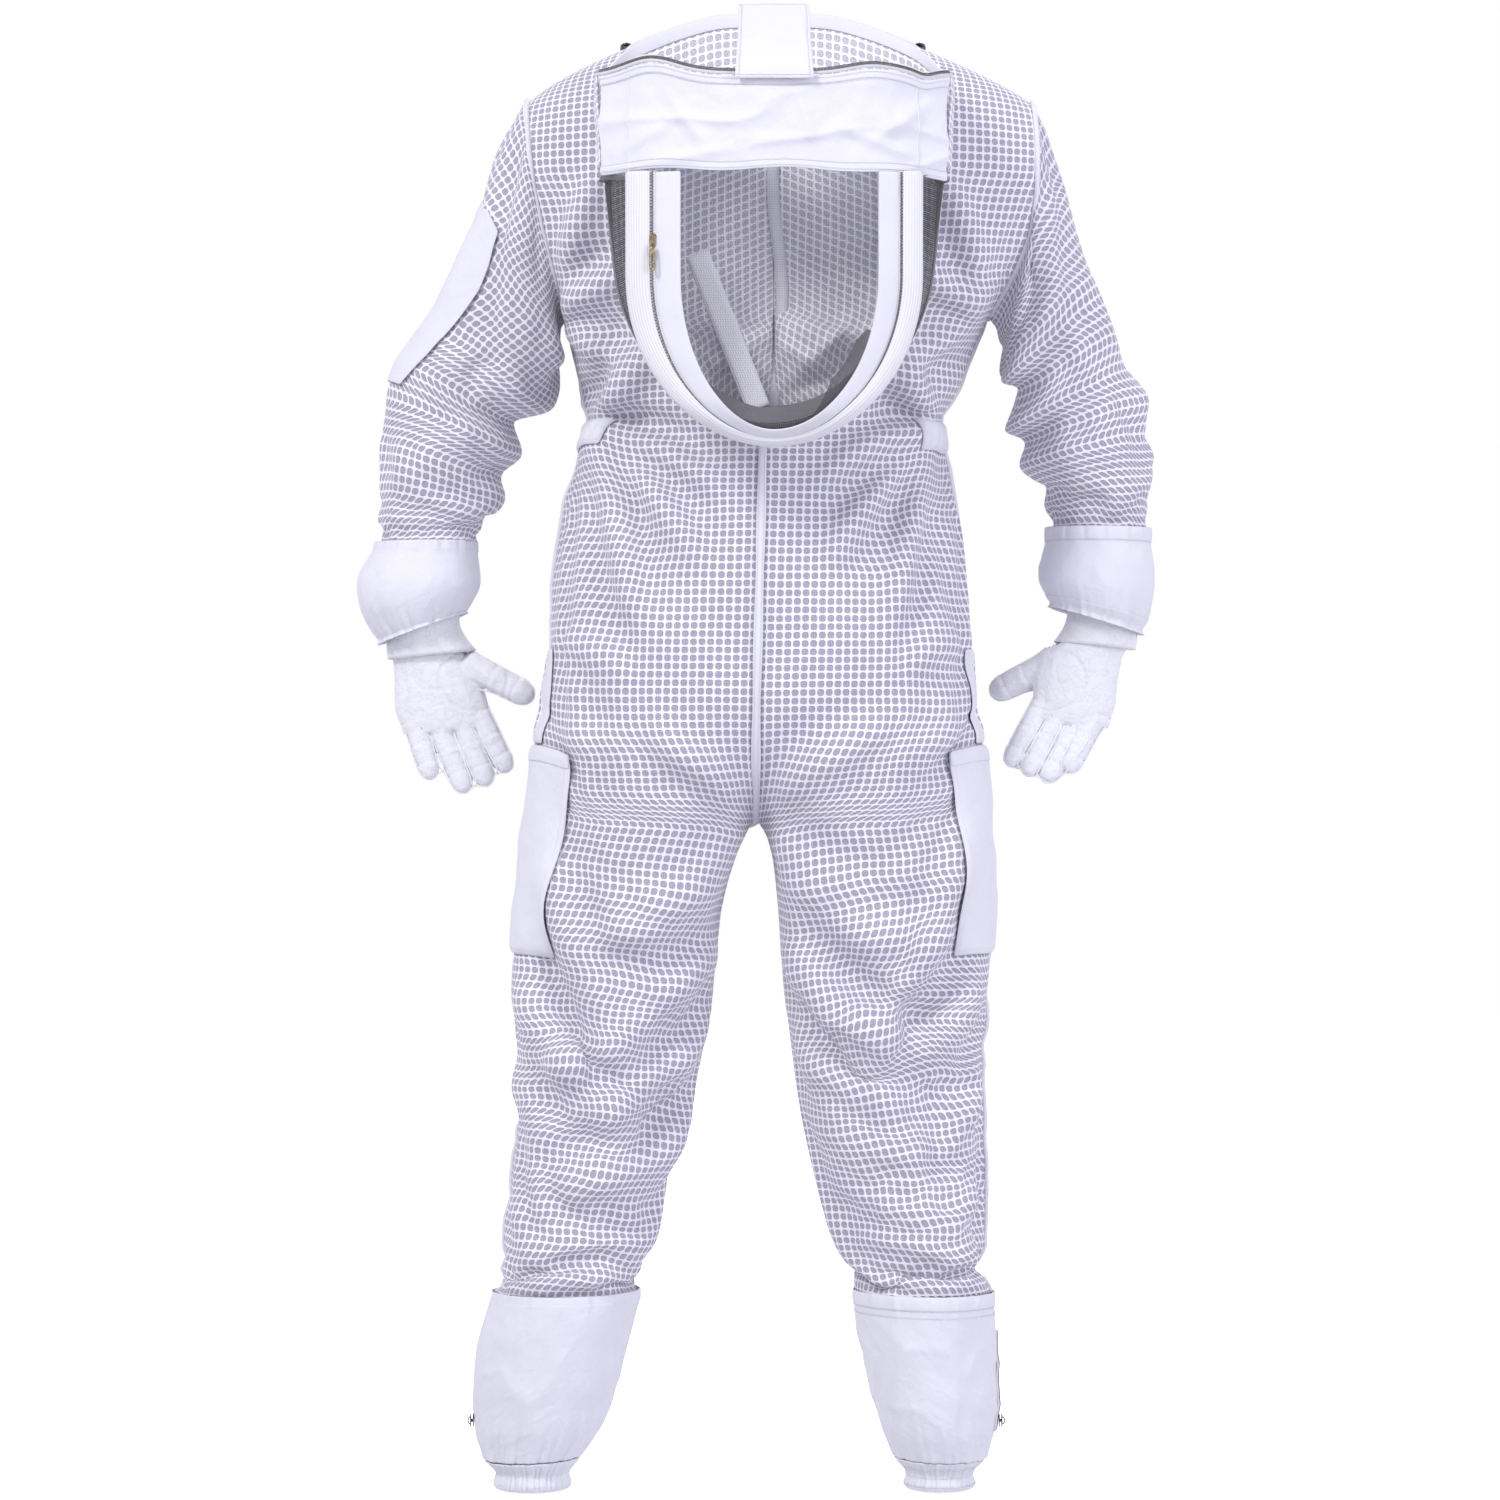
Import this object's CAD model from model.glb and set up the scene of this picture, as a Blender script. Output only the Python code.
"""Looks of the ventilated beekeeping suit: fabric, zips, veil, leather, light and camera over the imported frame."""

import math

import bmesh
import bpy
import numpy as np
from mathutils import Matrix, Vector, noise
from mathutils.bvhtree import BVHTree


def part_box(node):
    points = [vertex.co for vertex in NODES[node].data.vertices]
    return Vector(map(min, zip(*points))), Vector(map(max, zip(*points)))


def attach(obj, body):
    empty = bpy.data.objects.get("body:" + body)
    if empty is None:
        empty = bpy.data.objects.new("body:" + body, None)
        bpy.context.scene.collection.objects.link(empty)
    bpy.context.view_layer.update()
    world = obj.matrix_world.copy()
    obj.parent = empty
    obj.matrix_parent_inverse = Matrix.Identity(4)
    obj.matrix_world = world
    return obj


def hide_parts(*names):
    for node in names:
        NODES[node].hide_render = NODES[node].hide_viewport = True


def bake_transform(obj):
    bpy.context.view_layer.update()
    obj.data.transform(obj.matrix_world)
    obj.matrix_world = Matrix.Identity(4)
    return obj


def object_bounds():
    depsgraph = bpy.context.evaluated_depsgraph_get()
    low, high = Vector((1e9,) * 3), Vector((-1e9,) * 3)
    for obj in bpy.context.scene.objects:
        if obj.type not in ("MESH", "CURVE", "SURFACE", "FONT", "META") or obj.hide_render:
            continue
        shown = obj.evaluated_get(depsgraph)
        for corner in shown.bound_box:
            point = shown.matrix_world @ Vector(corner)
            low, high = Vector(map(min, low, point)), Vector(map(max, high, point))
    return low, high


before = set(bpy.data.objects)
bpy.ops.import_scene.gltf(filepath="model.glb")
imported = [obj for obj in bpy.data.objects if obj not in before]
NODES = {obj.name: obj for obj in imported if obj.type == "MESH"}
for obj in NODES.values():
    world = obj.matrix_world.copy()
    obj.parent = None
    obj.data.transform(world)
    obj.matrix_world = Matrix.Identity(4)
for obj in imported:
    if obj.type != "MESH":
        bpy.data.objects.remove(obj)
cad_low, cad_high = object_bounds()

SIDE_Y = -0.010  # depth of the suit's side seams
HOOD_X = 0.008  # the hood's middle
PITCH = 0.0084  # one cell of the ventilated mesh
SPACING = 0.0088  # between the rows of the simulated cloth
FLOOR_REACH = 9.0  # half the width of the floor
CAMERA_BACK = 5.0  # from the side seams to the camera


# ---------------------------------------------------------------- materials
class Shade:
    """A small helper that wires a procedural material."""

    def __init__(self, name):
        self.mat = bpy.data.materials.new(name)
        self.mat.use_nodes = True
        self.tree = self.mat.node_tree
        self.bsdf = self.tree.nodes["Principled BSDF"]

    def node(self, kind, **values):
        made = self.tree.nodes.new(kind)
        for key, value in values.items():
            setattr(made, key, value)
        return made

    def link(self, out, into):
        self.tree.links.new(out, into)

    def coords(self, kind="UV"):
        return self.node("ShaderNodeTexCoord").outputs[kind]

    def math(self, op, a, b=None, c=None):
        made = self.node("ShaderNodeMath", operation=op)
        for slot, value in zip(made.inputs, (a, b, c)):
            if value is None:
                continue
            if isinstance(value, (int, float)):
                slot.default_value = value
            else:
                self.link(value, slot)
        return made.outputs[0]

    def split(self, vector):
        made = self.node("ShaderNodeSeparateXYZ")
        self.link(vector, made.inputs[0])
        return made.outputs

    def scaled(self, vector, factor):
        made = self.node("ShaderNodeVectorMath", operation="MULTIPLY")
        self.link(vector, made.inputs[0])
        made.inputs[1].default_value = factor
        return made.outputs[0]

    def noise(self, vector, scale, detail=3.0, rough=0.55):
        made = self.node("ShaderNodeTexNoise")
        self.link(vector, made.inputs["Vector"])
        made.inputs["Scale"].default_value = scale
        made.inputs["Detail"].default_value = detail
        made.inputs["Roughness"].default_value = rough
        return made.outputs["Fac"]

    def cells(self, vector, scale, feature="F1", random=1.0):
        made = self.node("ShaderNodeTexVoronoi", feature=feature)
        self.link(vector, made.inputs["Vector"])
        made.inputs["Scale"].default_value = scale
        made.inputs["Randomness"].default_value = random
        return made.outputs["Distance"]

    def ramp(self, value, low, high, a=0.0, b=1.0):
        made = self.node("ShaderNodeMapRange", interpolation_type="SMOOTHSTEP")
        self.link(value, made.inputs["Value"])
        for key, number in zip(("From Min", "From Max", "To Min", "To Max"), (low, high, a, b)):
            made.inputs[key].default_value = number
        return made.outputs["Result"]

    def mix(self, factor, a, b):
        made = self.node("ShaderNodeMix", data_type="RGBA")
        self.link(factor, made.inputs["Factor"])
        for slot, value in ((made.inputs[6], a), (made.inputs[7], b)):
            if isinstance(value, tuple):
                slot.default_value = (*value, 1)
            else:
                self.link(value, slot)
        return made.outputs[2]

    def bump(self, height, strength, distance, under=None):
        made = self.node("ShaderNodeBump")
        self.link(height, made.inputs["Height"])
        made.inputs["Strength"].default_value = strength
        made.inputs["Distance"].default_value = distance
        if under is not None:
            self.link(under, made.inputs["Normal"])
        return made.outputs["Normal"]

    def finish(self, color=None, rough=None, normal=None, **sockets):
        if color is not None:
            self.link(color, self.bsdf.inputs["Base Color"])
        if isinstance(rough, float):
            self.bsdf.inputs["Roughness"].default_value = rough
        elif rough is not None:
            self.link(rough, self.bsdf.inputs["Roughness"])
        if normal is not None:
            self.link(normal, self.bsdf.inputs["Normal"])
        for key, value in sockets.items():
            self.bsdf.inputs[key.replace("_", " ")].default_value = value
        return self.mat


def wave(s, value, count):
    """A cosine stripe from 0 to 1, so many a unit."""
    turned = s.math("COSINE", s.math("MULTIPLY", value, 2 * math.pi * count))
    return s.math("MULTIPLY_ADD", turned, 0.5, 0.5)


def mesh_fabric(name, thread, cell):
    """Three-layer ventilated mesh: a raised white grid round rounded cells of fine net."""
    s = Shade(name)
    uv = s.coords()
    drift = s.math("MULTIPLY_ADD", s.noise(uv, 14.0, 2.0), 0.0016, -0.0008)
    u, v, _ = s.split(uv)
    u = s.math("ADD", u, drift)
    v = s.math("ADD", v, drift)
    across = s.math("ABSOLUTE", s.math("SINE", s.math("MULTIPLY", u, math.pi / PITCH)))
    down = s.math("ABSOLUTE", s.math("SINE", s.math("MULTIPLY", v, math.pi / PITCH)))
    inside = s.math("MULTIPLY", across, down)
    hole = s.ramp(inside, 0.24, 0.44)
    fine = s.cells(uv, 1 / 0.0019, random=0.35)
    net = s.ramp(fine, 0.22, 0.50)
    fibre = s.noise(uv, 900.0, 2.0)
    worn = s.noise(uv, 9.0, 4.0)
    dark = s.mix(s.math("MULTIPLY", net, 0.75), cell, tuple(0.55 * c for c in cell))
    lit = s.mix(s.ramp(fibre, 0.30, 0.75), tuple(0.90 * c for c in thread), thread)
    color = s.mix(hole, lit, dark)
    tone = s.mix(s.ramp(worn, 0.35, 0.70), (0.93, 0.93, 0.955), (1.0, 1.0, 1.0))
    shaded = s.node("ShaderNodeMix", data_type="RGBA", blend_type="MULTIPLY")
    shaded.inputs["Factor"].default_value = 1.0
    s.link(color, shaded.inputs[6])
    s.link(tone, shaded.inputs[7])
    height = s.math("SUBTRACT", s.math("MULTIPLY", fibre, 0.12), hole)
    height = s.math("MULTIPLY_ADD", s.math("MULTIPLY", net, hole), -0.35, height)
    normal = s.bump(height, 0.8, 0.0010)
    rough = s.ramp(hole, 0.0, 1.0, 0.78, 0.92)
    return s.finish(shaded.outputs[2], rough, normal, Sheen_Weight=0.25, Sheen_Roughness=0.5)


def cotton(name, color=(0.72, 0.725, 0.78), crumple=0.5, yarn=0.0007):
    """Plain poly-cotton: a twill line, fine yarn, soft crumples and a little soiling."""
    s = Shade(name)
    uv = s.coords()
    u, v, _ = s.split(uv)
    slant = s.math("ADD", u, s.math("MULTIPLY", v, 0.6))
    twill = wave(s, slant, 1 / yarn)
    yarns = wave(s, s.math("SUBTRACT", v, s.math("MULTIPLY", u, 0.2)), 0.7 / yarn)
    fibre = s.noise(uv, 1500.0, 2.0)
    weave = s.math("MULTIPLY_ADD", yarns, 0.4, s.math("MULTIPLY_ADD", fibre, 0.5, twill))
    soft = s.noise(uv, 28.0, 5.0, 0.6)
    creased = s.math("ABSOLUTE", s.math("SUBTRACT", s.noise(uv, 16.0, 3.0, 0.55), 0.5))
    stain = s.ramp(s.noise(uv, 7.0, 4.0), 0.35, 0.75)
    base = s.mix(s.ramp(weave, 0.2, 1.6), tuple(0.94 * c for c in color), color)
    base = s.mix(s.math("MULTIPLY", stain, 0.35), base, tuple(0.96 * c for c in color))
    big = s.bump(s.math("MULTIPLY_ADD", creased, -2.0, soft), crumple, 0.004)
    normal = s.bump(weave, 0.35, 0.00025, big)
    rough = s.ramp(soft, 0.3, 0.7, 0.80, 0.90)
    return s.finish(base, rough, normal, Sheen_Weight=0.20, Sheen_Roughness=0.4)


def webbing(name, color, rib=0.0016, across=False):
    """Ribbed tape or elastic: ribs one way, a fine yarn the other."""
    s = Shade(name)
    uv = s.coords()
    u, v, _ = s.split(uv)
    if across:
        u, v = v, u
    ribs = wave(s, u, 1 / rib)
    pick = wave(s, v, 1 / (rib * 0.6))
    fibre = s.noise(uv, 1200.0, 2.0)
    height = s.math("ADD", s.math("MULTIPLY", pick, 0.35), s.math("ADD", ribs, s.math("MULTIPLY", fibre, 0.4)))
    soil = s.noise(uv, 30.0, 4.0)
    base = s.mix(s.ramp(ribs, 0.0, 0.8), tuple(0.86 * c for c in color), color)
    base = s.mix(s.math("MULTIPLY", s.ramp(soil, 0.4, 0.8), 0.4), base, tuple(0.93 * c for c in color))
    normal = s.bump(height, 0.55, 0.0005)
    return s.finish(base, 0.82, normal, Sheen_Weight=0.15)


def veil_net(name, color, pitch=0.0016, open_share=0.62):
    """Fine insect net with see-through holes."""
    s = Shade(name)
    uv = s.coords()
    u, v, _ = s.split(uv)
    slack = s.math("MULTIPLY_ADD", s.noise(uv, 25.0, 2.0), 0.0012, -0.0006)
    a = s.math("ABSOLUTE", s.math("SINE", s.math("MULTIPLY", s.math("ADD", u, slack), math.pi / pitch)))
    b = s.math("ABSOLUTE", s.math("SINE", s.math("MULTIPLY", s.math("ADD", v, slack), math.pi / pitch)))
    least = s.math("MINIMUM", a, b)
    edge = 1 - open_share
    solid = s.ramp(least, edge, edge + 0.12, 1.0, 0.0)
    tint = s.mix(s.ramp(s.noise(uv, 60.0, 3.0), 0.3, 0.7), color, tuple(1.25 * c for c in color))
    normal = s.bump(s.math("SUBTRACT", 1.0, least), 0.5, 0.0003)
    s.link(solid, s.bsdf.inputs["Alpha"])
    return s.finish(tint, 0.55, normal)


def leather(name, color=(0.73, 0.74, 0.775)):
    """Goatskin: pebbled grain, stretched creases, a faint soil on the raised parts."""
    s = Shade(name)
    at = s.coords("Object")
    grain = s.cells(at, 520.0, "DISTANCE_TO_EDGE")
    pores = s.noise(at, 900.0, 3.0)
    creases = s.math("ABSOLUTE", s.math("SUBTRACT", s.noise(at, 70.0, 4.0, 0.6), 0.5))
    soil = s.ramp(s.noise(at, 26.0, 5.0, 0.6), 0.40, 0.75)
    base = s.mix(s.math("MULTIPLY", soil, 0.35), color, (0.70, 0.69, 0.71))
    base = s.mix(s.ramp(creases, 0.0, 0.03, 0.16, 0.0), base, (0.60, 0.60, 0.66))
    low = s.bump(s.ramp(creases, 0.0, 0.06), 0.35, 0.0012)
    height = s.math("ADD", s.ramp(grain, 0.0, 0.18), s.math("MULTIPLY", pores, 0.4))
    normal = s.bump(height, 0.35, 0.0003, low)
    rough = s.ramp(pores, 0.3, 0.7, 0.46, 0.62)
    return s.finish(base, rough, normal, Specular_IOR_Level=0.45, Sheen_Weight=0.1)


def metal(name, color):
    """Cast zip metal: worn bright on the edges, dull in the hollows."""
    s = Shade(name)
    at = s.coords("Object")
    brushed = s.noise(s.scaled(at, (300.0, 300.0, 1500.0)), 3.0, 4.0)
    worn = s.ramp(s.noise(at, 420.0, 5.0, 0.65), 0.42, 0.62)
    base = s.mix(s.math("MULTIPLY", worn, 0.55), color, tuple(min(1.0, 1.8 * c + 0.06) for c in color))
    rough = s.ramp(brushed, 0.25, 0.75, 0.24, 0.48)
    normal = s.bump(brushed, 0.25, 0.0001)
    return s.finish(base, rough, normal, Metallic=1.0)


MAT = {
    "mesh": mesh_fabric("mat_mesh", (0.87, 0.86, 0.90), (0.50, 0.48, 0.585)),
    "mesh_hood": mesh_fabric("mat_mesh_hood", (0.98, 0.975, 1.0), (0.70, 0.69, 0.78)),
    "cotton": cotton("mat_cotton"),
    "cotton_smooth": cotton("mat_cotton_smooth", crumple=0.22),
    "tape": webbing("mat_zip_tape", (0.72, 0.72, 0.75)),
    "ribbed": webbing("mat_ribbed_casing", (0.76, 0.76, 0.79), rib=0.0024),
    "elastic": webbing("mat_elastic", (0.74, 0.74, 0.79), rib=0.0030, across=True),
    "strap": webbing("mat_strap", (0.82, 0.82, 0.86), rib=0.0022),
    "pad": webbing("mat_pad", (0.16, 0.16, 0.175), rib=0.0030),
    "binding": webbing("mat_binding", (0.17, 0.17, 0.18), rib=0.0014),
    "net": veil_net("mat_veil_net", (0.20, 0.195, 0.225), open_share=0.92),
    "side_net": veil_net("mat_side_net", (0.024, 0.024, 0.027), pitch=0.0020, open_share=0.34),
    "leather": leather("mat_leather"),
    "piping": leather("mat_piping", (0.80, 0.805, 0.83)),
    "brass": metal("mat_brass", (0.22, 0.17, 0.11)),
    "teeth": metal("mat_teeth", (0.13, 0.125, 0.12)),
    "gunmetal": metal("mat_gunmetal", (0.075, 0.075, 0.08)),
    "thread": cotton("mat_thread", (0.70, 0.70, 0.74), crumple=0.1, yarn=0.0004),
}


# ---------------------------------------------------------------- stage, light and camera
def build_stage():
    """A plain pale floor, soft light from the camera's side and the camera behind the wearer."""
    floor_z = cad_low.z - 0.002
    points = [(x, y, floor_z) for y in (-FLOOR_REACH, FLOOR_REACH) for x in (-FLOOR_REACH, FLOOR_REACH)]
    mesh = bpy.data.meshes.new("floor")
    mesh.from_pydata(points, [], [(0, 1, 3, 2)])
    floor = bpy.data.objects.new("floor", mesh)
    bpy.context.scene.collection.objects.link(floor)
    s = Shade("mat_floor")
    tone = s.noise(s.coords("Object"), 3.0, 3.0)
    mesh.materials.append(s.finish(s.mix(tone, (0.93, 0.93, 0.93), (0.95, 0.95, 0.95)), 0.95,
                                   Emission_Color=(1.0, 1.0, 1.0, 1.0), Emission_Strength=0.62))
    floor.visible_diffuse = False

    def area(name, place, aim, size, power, color):
        light = bpy.data.lights.new(name, "AREA")
        light.shape, light.size, light.energy, light.color = "DISK", size, power, color
        obj = bpy.data.objects.new(name, light)
        obj.location = place
        obj.rotation_euler = (Vector(aim) - Vector(place)).to_track_quat("-Z", "Y").to_euler()
        obj.visible_camera = False
        bpy.context.scene.collection.objects.link(obj)

    area("key", (-2.4, -3.2, 2.4), (0, 0, -0.6), 1.3, 122, (1.0, 0.985, 0.965))
    area("fill", (3.4, -3.2, 0.3), (0, 0, -0.8), 2.6, 84, (0.93, 0.92, 1.0))
    area("back", (0.6, 3.6, 2.6), (0, 0.2, -0.6), 2.4, 70, (0.97, 0.97, 1.0))
    world = bpy.data.worlds.new("studio")
    world.use_nodes = True
    tree = world.node_tree
    shade = tree.nodes["Background"]
    seen, white, either = (tree.nodes.new("ShaderNode" + kind) for kind in ("LightPath", "Background", "MixShader"))
    white.inputs["Color"].default_value = (1.0, 1.0, 1.0, 1)
    tree.links.new(seen.outputs["Is Camera Ray"], either.inputs[0])
    tree.links.new(shade.outputs[0], either.inputs[1])
    tree.links.new(white.outputs[0], either.inputs[2])
    tree.links.new(either.outputs[0], tree.nodes["World Output"].inputs["Surface"])
    shade.inputs["Color"].default_value = (0.89, 0.875, 1.0, 1)
    shade.inputs["Strength"].default_value = 0.85
    bpy.context.scene.world = world
    bpy.context.scene.view_settings.view_transform = "Standard"

    camera = bpy.data.objects.new("camera", bpy.data.cameras.new("camera"))
    camera.data.lens = 120
    camera.location = (-0.015, SIDE_Y - CAMERA_BACK, -0.72)
    camera.rotation_euler = (math.radians(90), 0, 0)
    camera.data.clip_end = 60
    bpy.context.scene.collection.objects.link(camera)
    bpy.context.scene.camera = camera


# ---------------------------------------------------------------- mesh helpers
def arc_uv(grid, wrap=False, first=0.0):
    """A flat layout in metres: u along the columns from the first, v down the rows."""
    closed = np.concatenate([grid, grid[:, :1]], axis=1) if wrap else grid
    step = np.linalg.norm(np.diff(closed, axis=1), axis=2)
    u = np.concatenate([np.zeros((len(grid), 1)), np.cumsum(step, axis=1)], axis=1) + first
    drop = np.linalg.norm(np.diff(grid, axis=0), axis=2).mean(axis=1)
    v = np.concatenate([[0], np.cumsum(drop)])
    return np.stack([u, np.repeat(-v[:, None], u.shape[1], axis=1)], axis=2)


def grid_faces(rows, cols, wrap=False, base=0):
    span = cols if wrap else cols - 1
    quads, corners = [], []
    for r in range(rows - 1):
        for c in range(span):
            n = (c + 1) % cols
            quads.append((base + r * cols + c, base + (r + 1) * cols + c, base + (r + 1) * cols + n,
                          base + r * cols + n))
            corners.append(((r, c), (r + 1, c), (r + 1, c + 1), (r, c + 1)))
    return quads, corners


def object_from(name, points, faces, uvs, mat, body, node=(), thick=0.0, levels=0, offset=-1.0):
    """A smooth mesh piece that rides on a body. uvs holds one pair for each face corner."""
    mesh = bpy.data.meshes.new(name)
    mesh.from_pydata(np.asarray(points, float).tolist(), [], [tuple(int(k) for k in f) for f in faces])
    if uvs is not None:
        layer = mesh.uv_layers.new(name="UVMap")
        layer.data.foreach_set("uv", np.asarray(uvs, np.float32).ravel())
    mesh.polygons.foreach_set("use_smooth", [True] * len(mesh.polygons))
    mesh.materials.append(MAT[mat])
    mesh.update()
    obj = bpy.data.objects.new(name, mesh)
    bpy.context.scene.collection.objects.link(obj)
    if thick:
        mod = obj.modifiers.new("thickness", "SOLIDIFY")
        mod.thickness, mod.offset = thick, offset
    if levels:
        mod = obj.modifiers.new("smooth", "SUBSURF")
        mod.levels = mod.render_levels = levels
    if body:
        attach(obj, body)
    if node:
        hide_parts(*([node] if isinstance(node, str) else node))
    return obj


def sheet_piece(name, grid, mat, body, node=(), wrap=False, uv=None, thick=0.0, levels=0, flip=False, offset=-1.0):
    grid = np.asarray(grid, float)
    rows, cols = grid.shape[:2]
    uv = arc_uv(grid, wrap) if uv is None else uv
    quads, corners = grid_faces(rows, cols, wrap)
    if flip:
        quads = [tuple(reversed(q)) for q in quads]
        corners = [tuple(reversed(c)) for c in corners]
    loops = [uv[r, c] for face in corners for r, c in face]
    return object_from(name, grid.reshape(-1, 3), quads, loops, mat, body, node, thick, levels, offset)


def relax(rows, rounds=1):
    """Evens out the rows in place. The first and the last stay."""
    for _ in range(rounds):
        rows[1:-1] = (rows[:-2] + 2 * rows[1:-1] + rows[2:]) / 4


def relax_both_ways(grid, rounds):
    for _ in range(rounds):
        relax(grid)
        relax(grid.swapaxes(0, 1))


def unit(vector):
    return vector / np.linalg.norm(vector)


def lengths(path):
    """How far along the path each of its points is."""
    return np.concatenate([[0], np.cumsum(np.linalg.norm(np.diff(path, axis=0), axis=1))])


def along_path(places, steps, path):
    """The path's points at the given places; steps comes from lengths."""
    return np.stack([np.interp(places, steps, path[:, k]) for k in range(path.shape[1])], axis=-1)


def resample(path, count):
    path = np.asarray(path, float)
    steps = lengths(path)
    return along_path(np.linspace(0, steps[-1], count), steps, path)


def tube_along(path, radius, sides=8, closed=False):
    """Points and faces of a round cord along a path. radius is one number or one a point."""
    path = np.asarray(path, float)
    count = len(path)
    radius = np.broadcast_to(np.asarray(radius, float), (count,))
    along = np.gradient(path, axis=0) if not closed else np.roll(path, -1, 0) - np.roll(path, 1, 0)
    along /= np.linalg.norm(along, axis=1, keepdims=True) + 1e-12
    up = np.array([0.0, 1.0, 0.0]) if abs(along[:, 1]).mean() < 0.8 else np.array([0.0, 0, 1.0])
    side = np.cross(along, up)
    side /= np.linalg.norm(side, axis=1, keepdims=True) + 1e-12
    rise = np.cross(side, along)
    turn = np.linspace(0, 2 * math.pi, sides, endpoint=False)
    ring = side[:, None] * np.cos(turn)[None, :, None] + rise[:, None] * np.sin(turn)[None, :, None]
    points = path[:, None] + ring * radius[:, None, None]
    faces = []
    for r in range(count if closed else count - 1):
        n = (r + 1) % count
        for c in range(sides):
            d = (c + 1) % sides
            faces.append((r * sides + c, r * sides + d, n * sides + d, n * sides + c))
    if not closed:
        faces += [tuple(range(sides)), tuple(reversed(range((count - 1) * sides, count * sides)))]
    return points.reshape(-1, 3), faces


class Heap:
    """Collects small solids, such as stitches or teeth, into one piece."""

    def __init__(self):
        self.points, self.faces, self.uvs, self.total = [], [], [], 0

    def add(self, points, faces):
        points = np.asarray(points, float)
        self.points.append(points)
        self.faces += [tuple(int(k) + self.total for k in f) for f in faces]
        flat = points[:, [0, 2]]
        self.uvs += [flat[k] for f in faces for k in f]
        self.total += len(points)

    def done(self, name, mat, body, node=()):
        return object_from(name, np.concatenate(self.points), self.faces, self.uvs, mat, body, node)


def cord_piece(name, path, radius, mat, body, sides=8, closed=False):
    heap = Heap()
    heap.add(*tube_along(path, radius, sides, closed))
    heap.done(name, mat, body)


def block(centre, axes, sizes):
    """Points and faces of a small chamfered block on three axes."""
    centre = np.asarray(centre, float)
    axes = np.asarray(axes, float)
    half = np.asarray(sizes, float) / 2
    points, inset = [], 0.72
    for level, grow in ((-1, inset), (-0.6, 1), (0.6, 1), (1, inset)):
        for a, b in ((-1, -1), (1, -1), (1, 1), (-1, 1)):
            points.append(centre + axes[0] * half[0] * a * grow + axes[1] * half[1] * b * grow
                          + axes[2] * half[2] * level)
    faces = [(3, 2, 1, 0), (12, 13, 14, 15)]
    for r in range(3):
        for c in range(4):
            d = (c + 1) % 4
            faces.append((r * 4 + c, r * 4 + d, r * 4 + 4 + d, r * 4 + 4 + c))
    return np.array(points), faces


def stitches(heap, path, normals, length=0.0024, gap=0.0010, radius=0.00030, lift=0.0003):
    """A row of thread stitches along a path that lies on cloth."""
    path = np.asarray(path, float)
    steps = lengths(path)
    for k in range(int(steps[-1] / (length + gap))):
        start = k * (length + gap)
        a, b = along_path(start, steps, path), along_path(start + length, steps, path)
        along = b - a
        size = np.linalg.norm(along)
        if size < 1e-6:
            continue
        along /= size
        up = along_path(start, steps, normals)
        up = up - along * (up @ along)
        up /= np.linalg.norm(up) + 1e-9
        points, faces = block((a + b) / 2 + up * lift, (np.cross(along, up), up, along),
                              (2 * radius, 2 * radius, size))
        heap.add(points, faces)


def bumps(points, scale, seed, octaves=3, stretch=(1, 1, 1)):
    """Smooth noise in -1 to 1 at each point of a list or grid of points."""
    shift = Vector((seed * 3.7, seed * 1.3, seed * 7.1))
    flat = points.reshape(-1, 3) * stretch
    return np.array([noise.fractal(Vector(p) * scale + shift, 1.0, 2.0, octaves)
                     for p in flat]).reshape(points.shape[:-1])


# ---------------------------------------------------------------- the suit's cloth
NECK_TILT = math.radians(18)
NECK_UP = np.array([0, math.sin(NECK_TILT), math.cos(NECK_TILT)])
NECK_C = (0.008, -0.015, -0.030)
ANKLE_SEAM = -1.262
# Torso: level, left and right half widths, back, front, tilt share, armhole plane left and right
TORSO = (
    (-0.033, 0.156, 0.156, -0.101, 0.134, 1.00, 0.245, 0.255),
    (-0.045, 0.190, 0.192, -0.108, 0.139, 0.90, 0.245, 0.255),
    (-0.059, 0.225, 0.230, -0.115, 0.143, 0.75, 0.245, 0.256),
    (-0.072, 0.246, 0.257, -0.120, 0.145, 0.60, 0.244, 0.256),
    (-0.095, 0.272, 0.288, -0.128, 0.147, 0.42, 0.243, 0.258),
    (-0.130, 0.286, 0.305, -0.138, 0.148, 0.22, 0.240, 0.260),
    (-0.170, 0.284, 0.305, -0.145, 0.148, 0.08, 0.235, 0.259),
    (-0.210, 0.268, 0.288, -0.149, 0.148, 0.0, 0.226, 0.254),
    (-0.250, 0.238, 0.262, -0.150, 0.148, 0.0, 0.214, 0.240),
    (-0.290, 0.200, 0.216, -0.149, 0.148, 0.0, 0.202, 0.218),
    (-0.340, 0.192, 0.197, -0.143, 0.148, 0.0, 0.4, 0.4),
    (-0.405, 0.173, 0.172, -0.132, 0.148, 0.0, 0.4, 0.4),
    (-0.450, 0.197, 0.196, -0.139, 0.148, 0.0, 0.4, 0.4),
    (-0.500, 0.212, 0.211, -0.150, 0.148, 0.0, 0.4, 0.4),
    (-0.560, 0.217, 0.214, -0.158, 0.148, 0.0, 0.4, 0.4),
)
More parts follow.
